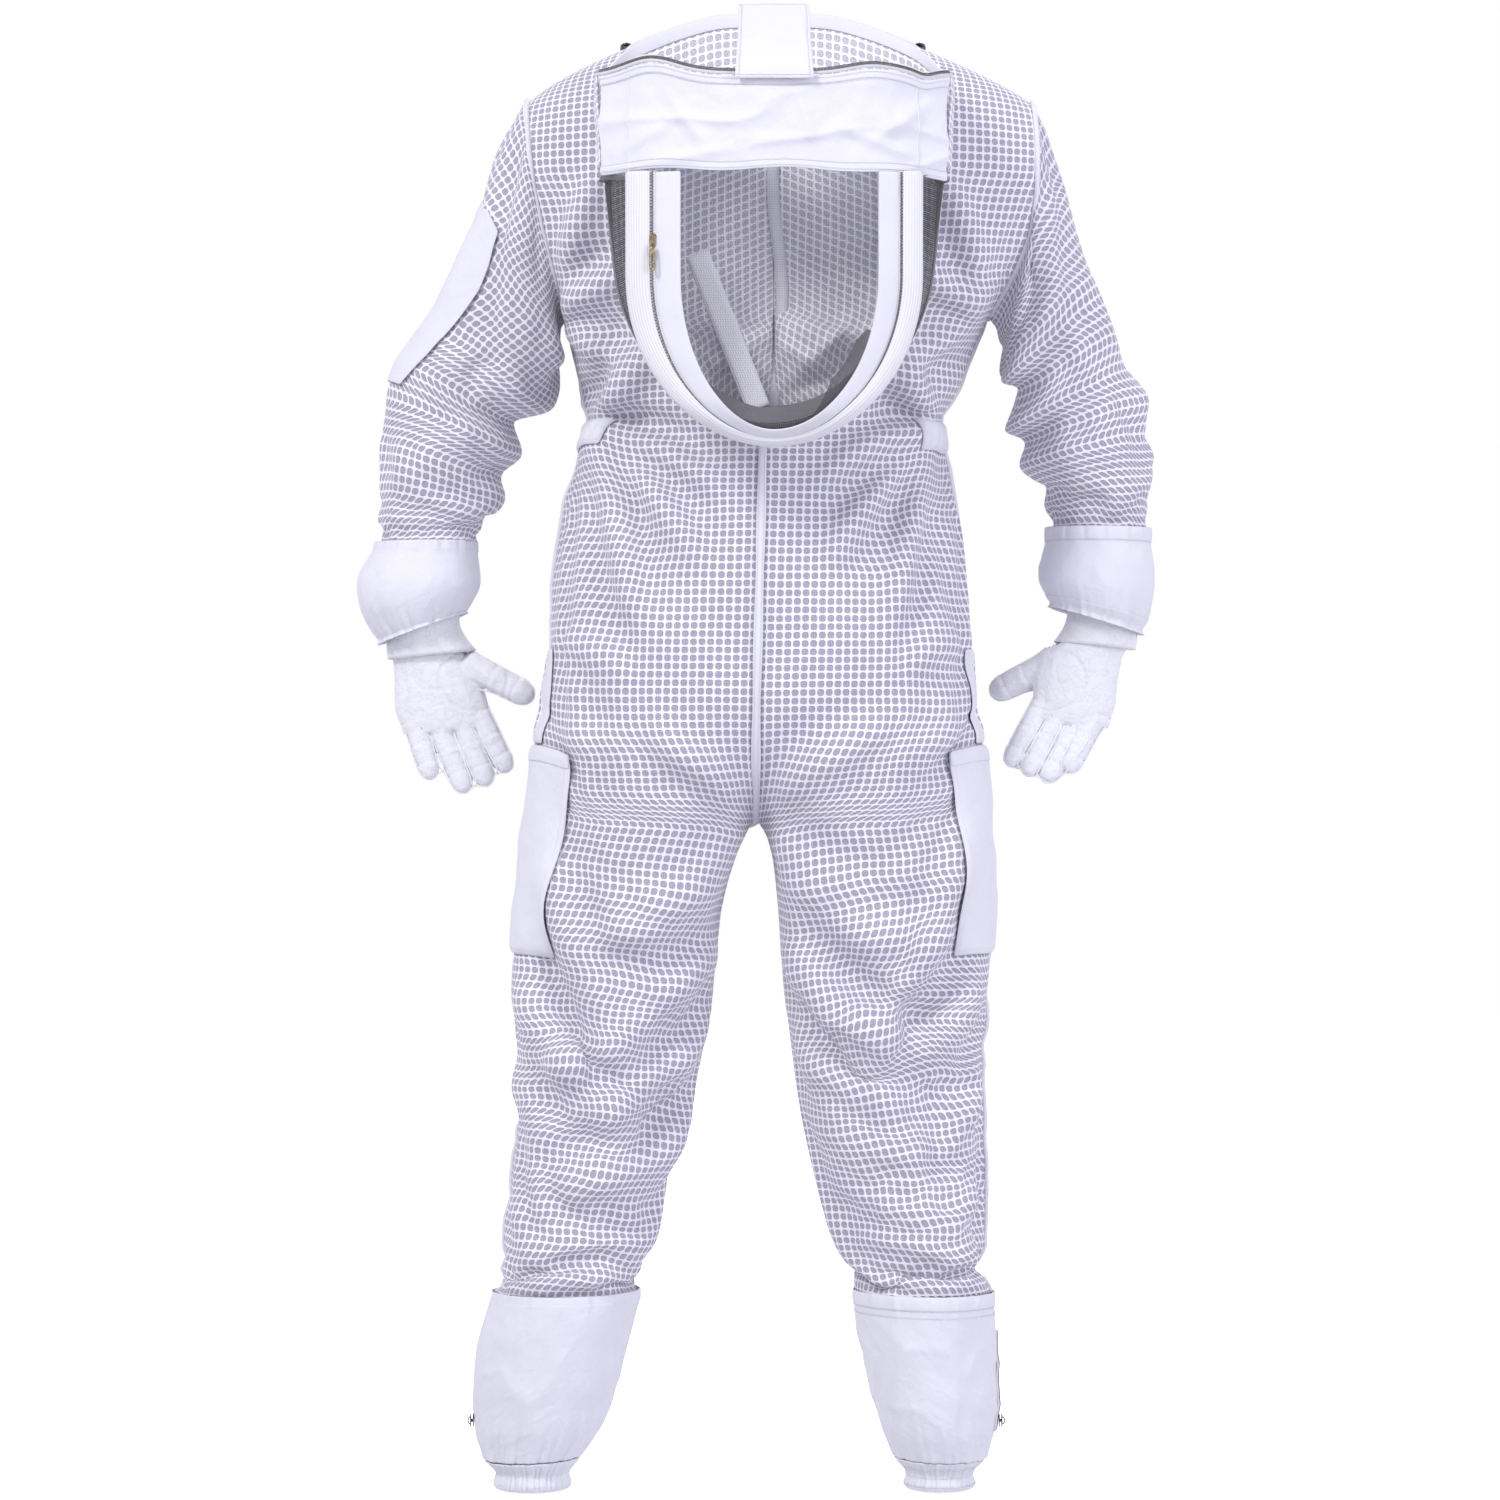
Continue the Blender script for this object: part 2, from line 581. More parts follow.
# Hips and legs: level, outer and inner edge of the left side, of the right side, back, front
LEGS = (
    (-0.620, -0.221, 0.170, 0.210, -0.180, -0.161, 0.140),
    (-0.680, -0.226, 0.105, 0.213, -0.120, -0.158, 0.132),
    (-0.730, -0.230, 0.035, 0.217, -0.052, -0.150, 0.120),
    (-0.775, -0.233, -0.017, 0.220, -0.006, -0.135, 0.105),
    (-0.820, -0.238, -0.036, 0.222, 0.003, -0.125, 0.095),
    (-0.880, -0.246, -0.044, 0.227, 0.008, -0.117, 0.090),
    (-0.950, -0.251, -0.048, 0.222, 0.012, -0.108, 0.084),
    (-1.010, -0.248, -0.060, 0.212, 0.024, -0.102, 0.080),
    (-1.070, -0.243, -0.078, 0.216, 0.034, -0.098, 0.076),
    (-1.140, -0.256, -0.101, 0.219, 0.055, -0.098, 0.070),
    (-1.210, -0.268, -0.117, 0.222, 0.075, -0.094, 0.066),
    (ANKLE_SEAM, -0.269, -0.127, 0.226, 0.090, -0.088, 0.064),
)
SEAM_Z = (0.0, 0.20, 0.42, 0.60, 0.78, 1.3)
SEAM_X = (0.008, 0.008, -0.002, -0.007, -0.0125, -0.0125)
# Sleeves, from the armhole to the cuff: outer x, z, inner x, z, half depth, y of the centre
SLEEVES = {
    -1: (
        (-0.266, -0.100, -0.208, -0.296, 0.082, -0.008),
        (-0.284, -0.168, -0.205, -0.318, 0.080, -0.006),
        (-0.304, -0.232, -0.207, -0.342, 0.077, -0.004),
        (-0.334, -0.272, -0.226, -0.362, 0.074, 0.000),
        (-0.368, -0.320, -0.254, -0.384, 0.071, 0.004),
        (-0.391, -0.368, -0.264, -0.410, 0.069, 0.008),
        (-0.383, -0.412, -0.269, -0.438, 0.066, 0.010),
        (-0.389, -0.452, -0.276, -0.468, 0.062, 0.012),
        (-0.386, -0.490, -0.288, -0.494, 0.056, 0.014),
        (-0.383, -0.514, -0.291, -0.514, 0.053, 0.014),
    ),
    1: (
        (0.295, -0.106, 0.238, -0.306, 0.084, -0.008),
        (0.304, -0.170, 0.238, -0.320, 0.081, -0.006),
        (0.322, -0.218, 0.248, -0.334, 0.078, -0.004),
        (0.346, -0.268, 0.256, -0.350, 0.074, 0.000),
        (0.366, -0.322, 0.256, -0.376, 0.071, 0.004),
        (0.382, -0.372, 0.258, -0.404, 0.069, 0.008),
        (0.391, -0.416, 0.270, -0.434, 0.066, 0.010),
        (0.388, -0.456, 0.278, -0.464, 0.062, 0.012),
        (0.386, -0.484, 0.284, -0.488, 0.056, 0.014),
        (0.384, -0.500, 0.287, -0.500, 0.053, 0.014),
    ),
}
# Large folds of the back, in mm: from x, z to x, z, width, depth, bow
FOLDS = (
    (-18, -785, -125, -870, 15, 15, 14), (-22, -835, -185, -905, 17, 14, 16), (-42, -890, -225, -1040, 17, 22, 26),
    (-50, -945, -150, -1000, 13, -13, 10), (-60, -985, -215, -1090, 16, 18, 18),
    (-72, -1035, -160, -1120, 14, -10, 8), (-75, -1075, -245, -1150, 16, 17, 12),
    (-108, -1130, -262, -1180, 14, 15, 8), (-118, -1185, -262, -1222, 12, 14, -8),
    (-125, -1228, -262, -1248, 9, 9, 4), (-250, -925, -150, -1055, 18, 15, -18),
    (-250, -1030, -190, -1110, 14, 12, -10), (-215, -830, -150, -960, 18, 10, -12),
    (-150, -930, -175, -1160, 20, 9, 22), (2, -790, 110, -860, 15, 15, -14), (8, -850, 190, -905, 17, 14, -16),
    (18, -890, 150, -1010, 17, 22, -22), (26, -945, 100, -1030, 13, -13, -10),
    (30, -990, 170, -1075, 16, 18, -16), (222, -935, 95, -1040, 18, 17, 20),
    (40, -1060, 200, -1120, 16, 17, -12), (218, -1045, 130, -1100, 14, 12, 10),
    (62, -1125, 215, -1160, 14, 15, -8), (84, -1180, 218, -1215, 12, 14, 8), (95, -1228, 220, -1248, 9, 9, -4),
    (190, -830, 125, -960, 18, 10, 12), (120, -930, 160, -1160, 20, 9, -22),
    (-172, -408, -60, -540, 13, 13, 10), (-172, -404, -40, -462, 11, 12, 6), (-170, -398, -70, -430, 9, 9, 4),
    (-168, -396, -95, -285, 12, 12, -8), (-170, -412, -130, -590, 13, 13, 6),
    (-166, -392, -130, -300, 10, 10, -4), (170, -408, 60, -540, 13, 13, -10), (170, -404, 40, -462, 11, 12, -6),
    (168, -398, 70, -430, 9, 9, -4), (166, -396, 95, -285, 12, 12, 8), (168, -412, 130, -590, 13, 13, -6),
    (164, -392, 130, -300, 10, 10, 4), (-205, -292, -120, -245, 14, 12, 6), (-205, -285, -160, -150, 14, 10, 6),
    (-200, -300, -140, -340, 12, 10, 4), (215, -292, 130, -245, 14, 12, -6), (215, -285, 170, -150, 14, 10, -6),
    (205, -300, 140, -340, 12, 10, -4), (-20, -770, -160, -690, 16, 11, -12), (0, -770, 140, -690, 16, 11, 12),
    (-215, -610, -120, -650, 14, 9, 8), (210, -610, 120, -650, 14, 9, -8), (-210, -700, -100, -745, 15, 9, 8),
    (205, -700, 100, -745, 15, 9, -8),
)


def smooth_rows(table, spacing):
    """Rows of numbers, the first a falling level, filled in and rounded off."""
    table = np.asarray(table, float)
    depth = -table[:, 0]
    levels = np.linspace(depth[0], depth[-1], int(round((depth[-1] - depth[0]) / spacing)) + 1)
    rows = np.stack([np.interp(levels, depth, table[:, k]) for k in range(table.shape[1])], axis=1)
    relax(rows[:, 1:6], 5)
    rows[:, 0] = -levels
    return rows


def seam_x(z):
    return np.interp(-np.asarray(z), SEAM_Z, SEAM_X)


def seam_angle(side, z, middle, half):
    """The angle round one side at which its outline meets the centre seam; pi where it doesn't reach it."""
    cosine = (float(seam_x(z)) - middle) / (side * half)
    return math.acos(cosine) if cosine > -1 else math.pi


def side_rows(side):
    """Level, centre x, half width, back, front, tilt share, armhole plane, for one side."""
    rows = []
    for z, left, right, back, front, tilt, arm_l, arm_r in TORSO:
        rows.append((z, float(seam_x(z)), left if side < 0 else right, back, front, tilt,
                     arm_l if side < 0 else arm_r))
    for z, out_l, in_l, out_r, in_r, back, front in LEGS:
        outer, inner = (out_l, in_l) if side < 0 else (out_r, in_r)
        rows.append((z, (outer + inner) / 2, abs(outer - inner) / 2, back, front, 0.0, 0.5))
    return smooth_rows(rows, SPACING)


def quarter(side, depth, cols=30, shrink=None):
    """One panel as a grid of points, from the armhole or side seam to the centre, neck to ankle."""
    grid = []
    for z, cx, half, back, front, tilt, arm in side_rows(side):
        first = math.acos(min(1.0, arm / half)) if half > arm else 0.0
        angle = np.linspace(first, seam_angle(side, z, cx, half), cols)
        less = 0.0 if shrink is None else shrink(z)
        reach = (back if depth < 0 else front) - SIDE_Y
        reach -= depth * less
        y = SIDE_Y + reach * np.sin(angle)
        x = cx + side * (half - less) * np.cos(angle)
        drop = math.tan(NECK_TILT) * tilt * (y - NECK_C[1])
        grid.append(np.stack([x, y, z - drop - (less if z > -0.12 else 0)], axis=1))
    return np.array(grid)


def rings(stations, sides, spacing=None, first=None):
    """Rings through pairs of outer and inner edge points."""
    grid = [] if first is None else [first]
    for xo, zo, xi, zi, half_depth, y in stations:
        centre = np.array([(xo + xi) / 2, y, (zo + zi) / 2])
        long_way = np.array([xo - xi, 0, zo - zi]) / 2
        turn = np.linspace(0, 2 * math.pi, sides, endpoint=False)
        grid.append([centre + long_way * math.cos(t) + np.array([0, half_depth * math.sin(t), 0]) for t in turn])
    grid = np.array(grid)
    if spacing is None:
        return grid
    steps = lengths(grid.mean(axis=1))
    places = np.linspace(0, steps[-1], int(round(steps[-1] / spacing)) + 1)
    fine = along_path(places, steps, grid.reshape(len(grid), -1))
    relax(fine, 4)
    return fine.reshape(len(fine), sides, 3)


def armhole_ring(side, sides, front, back):
    """The edge of the torso's armhole, down its front and up its back."""
    table = side_rows(side)
    cut = table[:, 2] > table[:, 6]
    loop = np.concatenate([front[cut, 0], back[cut, 0][::-1]])
    return resample(np.concatenate([loop, loop[:1]]), sides + 1)[:-1] + (side * 0.001, 0, 0)


def normals_of(grid, outward_from):
    """Unit normals of a grid, turned so that they look away from the given place."""
    normals = np.cross(np.gradient(grid, axis=0), np.gradient(grid, axis=1))
    normals /= np.linalg.norm(normals, axis=2, keepdims=True) + 1e-12
    if np.einsum("ijk,ijk->ij", normals, grid - outward_from).sum() < 0:
        normals = -normals
    return normals


def fold_height(x, z, folds):
    """Height of hand-placed folds at places on the back. Each has a ridge and a valley below it."""
    height = np.zeros_like(x)
    for x0, z0, x1, z1, width, depth, bow in folds:
        a, b = np.array([x0, z0]) / 1000, np.array([x1, z1]) / 1000
        along = b - a
        size = np.linalg.norm(along)
        along /= size
        across = np.array([-along[1], along[0]])
        t = ((x - a[0]) * along[0] + (z - a[1]) * along[1]) / size
        off = (x - a[0]) * across[0] + (z - a[1]) * across[1] - bow / 1000 * 4 * t * (1 - t)
        fade = np.clip(np.sin(np.pi * np.clip(t, 0, 1)), 0, 1) ** 0.55
        w = width / 1000
        ridge = np.exp(-((off / w) ** 2)) - 0.6 * np.exp(-(((off - 1.7 * w) / (1.1 * w)) ** 2))
        height += depth / 1000 * fade * ridge
    return height


def cloth_settle(points, quads, pins, rest, body_points, body_quads, frames=26):
    """Lets cloth cut to a longer rest shape settle on a body, and returns its points."""
    mesh = bpy.data.meshes.new("settling")
    mesh.from_pydata(points.tolist(), [], [tuple(map(int, q)) for q in quads])
    cloth = bpy.data.objects.new("settling", mesh)
    under = bpy.data.meshes.new("inside")
    under.from_pydata(body_points.tolist(), [], [tuple(map(int, q)) for q in body_quads])
    inside = bpy.data.objects.new("inside", under)
    for obj in (cloth, inside):
        bpy.context.scene.collection.objects.link(obj)
    group = cloth.vertex_groups.new(name="pin")
    for k, w in enumerate(pins):
        if w > 0:
            group.add([k], float(w), "REPLACE")
    cloth.shape_key_add(name="Basis")
    cut = cloth.shape_key_add(name="cut")
    cut.data.foreach_set("co", np.asarray(rest, np.float32).ravel())
    cut.value = 0.0
    collide = inside.modifiers.new("collide", "COLLISION")
    inside.collision.thickness_outer = 0.004
    inside.collision.cloth_friction = 12
    mod = cloth.modifiers.new("cloth", "CLOTH")
    s = mod.settings
    s.quality, s.mass, s.time_scale = 6, 0.25, 1.0
    s.tension_stiffness = s.compression_stiffness = 18
    s.shear_stiffness, s.bending_stiffness = 5, 0.6
    s.tension_damping = s.compression_damping = 12
    s.bending_damping = 1.0
    s.air_damping = 3.0
    s.vertex_group_mass, s.pin_stiffness = "pin", 2.0
    s.rest_shape_key = cut
    mod.collision_settings.distance_min = 0.003
    mod.collision_settings.collision_quality = 2
    mod.point_cache.frame_start, mod.point_cache.frame_end = 1, frames
    scene = bpy.context.scene
    for number in range(1, frames + 1):
        scene.frame_set(number)
    graph = bpy.context.evaluated_depsgraph_get()
    settled = cloth.evaluated_get(graph).to_mesh()
    result = np.empty(len(points) * 3)
    settled.vertices.foreach_get("co", result)
    result = result.reshape(-1, 3)
    scene.frame_set(1)
    inside.modifiers.remove(collide)
    for obj in (cloth, inside):
        bpy.data.objects.remove(obj)
    return result


def outward(quads, body, cloth, base):
    """The body's faces, turned so that they look towards the cloth."""
    flat, over = body.reshape(-1, 3), cloth.reshape(-1, 3)
    a, b, c, _ = np.array(quads).T - base
    normals = np.cross(flat[b] - flat[a], flat[c] - flat[a])
    if np.einsum("ij,ij->i", normals, over[a] - flat[a]).sum() < 0:
        return [tuple(reversed(q)) for q in quads]
    return quads


def build_cloth():
    """All the mesh fabric of the suit, settled together, then cut into its panels and sleeves."""
    def slack(z):
        return float(np.interp(-z, [0.0, 0.09, 0.2, 0.3, 0.40, 0.5, 0.66, 0.8, 0.95, 1.26],
                               [0.004, 0.005, 0.012, 0.020, 0.022, 0.020, 0.014, 0.020, 0.026, 0.026]))

    names, grids, inner = [], [], []
    for side, word in ((-1, "left"), (1, "right")):
        for depth, face in ((-1, "back"), (1, "front")):
            grid = quarter(side, depth)
            axis = grid.copy()
            axis[:, :, 0] = side_rows(side)[:, 1][:, None]
            axis[:, :, 1] = SIDE_Y
            out = normals_of(grid, axis)
            z = grid[:, :, 2]
            edge = np.sin(np.pi * np.linspace(0, 1, grid.shape[1])) ** 0.5
            if depth < 0:
                lift = 1.1 * fold_height(grid[:, :, 0], z, FOLDS)
            else:
                lift = 0.7 * fold_height(grid[:, :, 0], z + 0.012, [f for f in FOLDS if f[1] < -590])
            rough = bumps(grid, 11.0, 3 + side, stretch=(1, 1, 1.6))
            lift += 0.007 * rough * edge * np.interp(-z, [0.1, 0.35, 0.7, 0.95], [0.35, 0.8, 0.6, 1.2])
            ends = np.interp(-z, [0.05, 0.09, ANKLE_SEAM * -1 - 0.03, -ANKLE_SEAM], [0, 1, 1, 0])
            lift *= ends * np.clip(edge * 1.3, 0, 1)
            sway = np.sin(z * 88 + side) + 0.7 * np.sin(z * 141 + 2 * side) + 0.5 * np.sin(z * 213)
            sway *= np.interp(-z, [0.31, 0.36, 0.40, 0.44, 0.60, 0.93, 0.97, 1.21, 1.25],
                              [0, 1, 0, 1, 0, 0, 2.0, 0.8, 0]) * 0.0022
            grid[:, :, 0] += side * sway * (1 - np.linspace(0, 1, grid.shape[1])) ** 2
            names.append(f"{face}_panel_{word}")
            grids.append(grid + out * lift[:, :, None])
            inner.append(quarter(side, depth, shrink=slack))
    rows, cols = grids[0].shape[:2]
    size = rows * cols
    same = np.arange(4 * size)
    place = lambda q, r, c: q * size + r * cols + c
    for q, side in ((0, -1), (2, 1)):
        table = side_rows(side)
        for r in range(rows):
            if table[r, 2] <= table[r, 6]:
                same[place(q + 1, r, 0)] = place(q, r, 0)
            if seam_angle(side, *table[r, :3]) == math.pi:
                same[place(q + 1, r, cols - 1)] = place(q, r, cols - 1)
    left, right = side_rows(-1), side_rows(1)
    for r in range(rows):
        if seam_angle(-1, *left[r, :3]) < math.pi and seam_angle(1, *right[r, :3]) < math.pi:
            same[place(2, r, cols - 1)] = place(0, r, cols - 1)
            same[place(3, r, cols - 1)] = place(1, r, cols - 1)
    count = 4 * size
    for side, word in ((-1, "left"), (1, "right")):
        sides = 44
        back, front = grids[0 if side < 0 else 2], grids[1 if side < 0 else 3]
        tube = rings(SLEEVES[side], sides, SPACING, armhole_ring(side, sides, front, back))
        middle = tube.mean(axis=1, keepdims=True)
        out = (tube - middle) / np.linalg.norm(tube - middle, axis=2, keepdims=True)
        along = np.linspace(0, 1, len(tube))[:, None]
        turn = np.linspace(0, 2 * math.pi, sides, endpoint=False)[None, :]
        rough = bumps(tube, 13.0, 9 + side)
        creases = np.sin(along * 30 + 2.4 * np.sin(turn + side) + 1.1 * np.sin(2 * turn + along * 9))
        bend = np.exp(-((along - 0.52) / 0.22) ** 2) * (0.45 + 0.55 * np.clip(np.cos(turn - math.pi), 0, 1)) + 0.22
        lift = (0.0090 * rough + 0.0125 * creases * bend) * np.clip(np.sin(np.pi * along) * 2.2, 0, 1)
        names.append(f"sleeve_{word}")
        grids.append(tube + out * lift[:, :, None])
        inner.append(middle + (tube - middle) * 0.74)
        same = np.concatenate([same, np.arange(tube.shape[0] * sides) + count])
        count += tube.shape[0] * sides
    points = np.concatenate([g.reshape(-1, 3) for g in grids])
    wraps = [False] * 4 + [True] * 2
    quads, body_quads, base = [], [], 0
    for name, grid, body, wrap in zip(names, grids, inner, wraps):
        more, _ = grid_faces(*grid.shape[:2], wrap, base)
        quads += [tuple(same[k] for k in q) for q in more]
        body_quads += outward(more, body, grid, base)
        base += grid.shape[0] * grid.shape[1]
    points = settle_suit(points, same, quads, grids, inner, body_quads)
    base = 0
    settled = {}
    for name, grid in zip(names, grids):
        settled[name] = points[base:base + grid.size // 3].reshape(grid.shape)
        base += grid.size // 3
    return settled


def settle_suit(points, same, quads, grids, inner, body_quads):
    used, packed = np.unique(same, return_inverse=True)
    start = points[used]
    y, z = start.T[1:]
    pins = np.zeros(len(start))
    fine = np.linspace(0, 1.5, 301)
    slow = np.interp(fine, [0, 0.12, 0.30, 0.42, 0.60, 0.80, 0.95, 1.25],
                     [0, 0.03, 0.08, 0.06, 0.03, 0.08, 0.13, 0.06])
    stretch = np.cumsum(slow) * (fine[1] - fine[0])
    rest = start.copy()
    rest[:, 2] -= np.interp(-z, fine, stretch)
    rest[:, 1] = SIDE_Y + (y - SIDE_Y) * 1.03
    held = np.zeros(len(points))
    base = 0
    for index, grid in enumerate(grids):
        rows, cols = grid.shape[:2]
        mark = np.zeros((rows, cols))
        mark[[0, -1]] = 1
        if index < 4:
            mark[:3, :] = 1
            mark[:, -1] = np.maximum(mark[:, -1], 0.25)
            table = side_rows(-1 if index < 2 else 1)
            mark[table[:, 2] > table[:, 6], 0] = 1
            waist = abs(table[:, 0] + 0.409) < 0.013
            mark[np.ix_(waist, np.arange(cols) < cols * 0.40)] = 1
            pocket = (table[:, 0] < -0.70) & (table[:, 0] > -0.93)
            mark[np.ix_(pocket, np.arange(cols) < cols * 0.20)] = 0.9
        held[base:base + rows * cols] = mark.ravel()
        base += rows * cols
    np.maximum.at(pins, packed, held)
    first = len(start) - sum(g.size // 3 for g in grids[4:])
    rest[first:] = start[first:] * (1.02, 0, 1.09) + rest[first:] * (0, 1, 0)
    result = cloth_settle(start, packed[np.array(quads)], pins, rest,
                          np.concatenate([g.reshape(-1, 3) for g in inner]), body_quads)
    moved = result - start
    size = np.linalg.norm(moved, axis=1, keepdims=True)
    cap = 0.030
    result = (start + moved * np.minimum(1, cap / np.maximum(size, 1e-9)))[packed]
    base = 0
    for index, grid in enumerate(grids[:4]):
        rows, cols = grid.shape[:2]
        part = result[base:base + rows * cols].reshape(grid.shape)
        axis = part * (0, 0, 1) + np.array([-0.13 if index < 2 else 0.13, SIDE_Y, 0])
        out = normals_of(part, axis)
        folds = FOLDS if index in (0, 2) else [f for f in FOLDS if f[1] < -590]
        edge = np.clip(np.sin(np.pi * np.linspace(0, 1, cols)) * 3, 0, 1)
        lift = 0.65 * fold_height(part[..., 0], part[..., 2], folds) * edge
        lift *= np.interp(-part[..., 2], [0.05, 0.10, -ANKLE_SEAM - 0.03, -ANKLE_SEAM], [0, 1, 1, 0])
        result[base:base + rows * cols] = (part + out * lift[..., None]).reshape(-1, 3)
        base += rows * cols
    return result


def build_suit():
    settled = build_cloth()
    for name, grid in settled.items():
        wrap = name.startswith("sleeve")
        uv = None if wrap else arc_uv(grid[:, ::-1])[:, ::-1]
        sheet_piece(name + "_cloth", grid, "mesh", "suit", name, wrap=wrap, uv=uv, thick=0.003, levels=1,
                    flip=name in ("back_panel_right", "front_panel_left"))
    return settled


# ---------------------------------------------------------------- trims that lie on the cloth
def cloth_point(cloth, word, z, degrees):
    """A place on the settled cloth: level and angle round one side, negative in front."""
    side = -1 if word == "left" else 1
    table = side_rows(side)
    row = float(np.interp(-z, -table[:, 0], np.arange(len(table))))
    cx, half = (np.interp(-z, -table[:, 0], table[:, k]) for k in (1, 2))
    last = seam_angle(side, z, cx, half)
    grid = cloth[("back" if degrees >= 0 else "front") + "_panel_" + word]
    col = min(abs(math.radians(degrees)) / last, 1.0) * (grid.shape[1] - 1)
    r, c = min(int(row), grid.shape[0] - 2), min(int(col), grid.shape[1] - 2)
    fr, fc = row - r, col - c
    top = grid[r, c] * (1 - fc) + grid[r, c + 1] * fc
    low = grid[r + 1, c] * (1 - fc) + grid[r + 1, c + 1] * fc
    return top * (1 - fr) + low * fr


def cloth_patch(cloth, word, levels, spans, rows, cols, lift, rounds=3):
    """A grid lying just over the cloth, between two angles at each level."""
    falling = [-z for z in levels]
    grid = []
    for z in np.linspace(levels[0], levels[-1], rows):
        first = np.interp(-z, falling, [s[0] for s in spans])
        last = np.interp(-z, falling, [s[1] for s in spans])
        grid.append([cloth_point(cloth, word, z, a) for a in np.linspace(first, last, cols)])
    grid = np.array(grid)
    relax_both_ways(grid, rounds)
    axis = grid.mean(axis=1, keepdims=True) * (0, 0, 1) + np.array([-0.12 if word == "left" else 0.12, SIDE_Y, 0])
    out = normals_of(grid, axis)
    height = np.full(grid.shape[:2], lift)
    height[[0, -1]] = height[:, [0, -1]] = lift - 0.0026
    return grid + out * height[:, :, None], out


def hem_lines(heap, grid, normals, rows=(), cols=(), lift=0.0010):
    for r in rows:
        stitches(heap, grid[r], normals[r], lift=lift)
    for c in cols:
        stitches(heap, grid[:, c], normals[:, c], lift=lift)


def build_trims(cloth):
    threads = Heap()
    for side, word in ((-1, "left"), (1, "right")):
        flip = side < 0
        grid, out = cloth_patch(cloth, word, (-0.394, -0.424), [(2, 35)] * 2, 9, 25, 0.0032)
        pleat = 0.0016 * np.sin(np.linspace(0, 11 * math.pi, 25))[None, :] * np.ones((9, 1))
        pleat *= np.sin(np.pi * np.linspace(0, 1, 9))[:, None]
        grid = grid + out * pleat[:, :, None]
        sheet_piece(f"waist_casing_{word}", grid, "cotton", "suit", f"waist_elastic_{word}", thick=0.0016, levels=1,
                    flip=flip)
        hem_lines(threads, grid, out, rows=(1, 4, 7))
        wider = 4 if side < 0 else 0
        spans = [(-28, reach + wider) for reach in (39, 40, 42, 44, 45, 46)]
        grid, out = cloth_patch(cloth, word, (-0.715, -0.730, -0.775, -0.830, -0.880, -0.922), spans, 40, 34,
                                0.0052, rounds=14)
        slack = bumps(grid, 26.0, 21 + side)
        edge = np.sin(np.pi * np.linspace(0, 1, 40))[:, None] ** 0.4 * np.sin(np.pi * np.linspace(0, 1, 34)) ** 0.4
        grid = grid + out * (0.0030 * slack * edge + 0.002 * edge)[:, :, None]
        sheet_piece(f"thigh_pocket_cloth_{word}", grid, "cotton", "suit", f"thigh_pocket_{word}", thick=0.0012,
                    levels=1, flip=flip)
        hem_lines(threads, grid, out, rows=(1, 3, 38), cols=(1, 32), lift=0.0006)
        sheet_piece(f"pocket_top_fold_{word}", grid[:4] + out[:4] * 0.0012, "cotton_smooth", "suit", thick=0.0012,
                    levels=1, flip=flip)
        grid, out = cloth_patch(cloth, word, (-0.6155, -0.7135), [(3, 18)] * 2, 24, 10, 0.0036)
        sheet_piece(f"side_opening_facing_{word}", grid, "cotton_smooth", "suit", f"side_opening_{word}",
                    thick=0.0012, levels=1, flip=flip)
        hem_lines(threads, grid, out, cols=(1, 8), lift=0.0006)
        grid, out = cloth_patch(cloth, word, (-0.622, -0.708), [(5.5, 12), (4.5, 12.5)], 14, 5, 0.0052)
        sheet_piece(f"side_opening_slit_{word}", grid, "mesh", "suit", thick=0.0004, flip=flip)
    seam = cloth["back_panel_left"][:, -1]
    keep = (seam[:, 2] < -0.093) & (seam[:, 2] > -0.80)
    line = resample(seam[keep], 150)
    half = 0.0046 + 0.0004 * np.sin(np.linspace(0, 40, 150))
    grid = np.stack([line + half[:, None] * (u, 0, 0) - (0, 0.0032 + 0.0014 * (1 - abs(u)), 0)
                     for u in (-1.0, -0.55, 0.0, 0.55, 1.0)], axis=1)
    sheet_piece("centre_seam_tape", grid, "cotton_smooth", "suit", "centre_back_seam", thick=0.0010, levels=1)
    away = np.tile([0.0, -1.0, 0.0], (150, 1))
    for u in (1, 3):
        stitches(threads, grid[:, u], away)
    for side, word in ((-1, "left"), (1, "right")):
        rows = side_rows(side)
        seam = cloth[f"back_panel_{word}"][:, 0]
        keep = rows[:, 2] <= rows[:, 6]
        line = resample(seam[keep], 170) - (side * 0.0001, 0, 0)
        cord_piece(f"side_seam_{word}", line, 0.0024, "cotton_smooth", "suit")
    for word in ("left", "right"):
        cord_piece(f"armhole_seam_{word}", cloth[f"sleeve_{word}"][0], 0.0026, "cotton_smooth", "suit", closed=True)
    threads.done("suit_stitching", "thread", "suit")


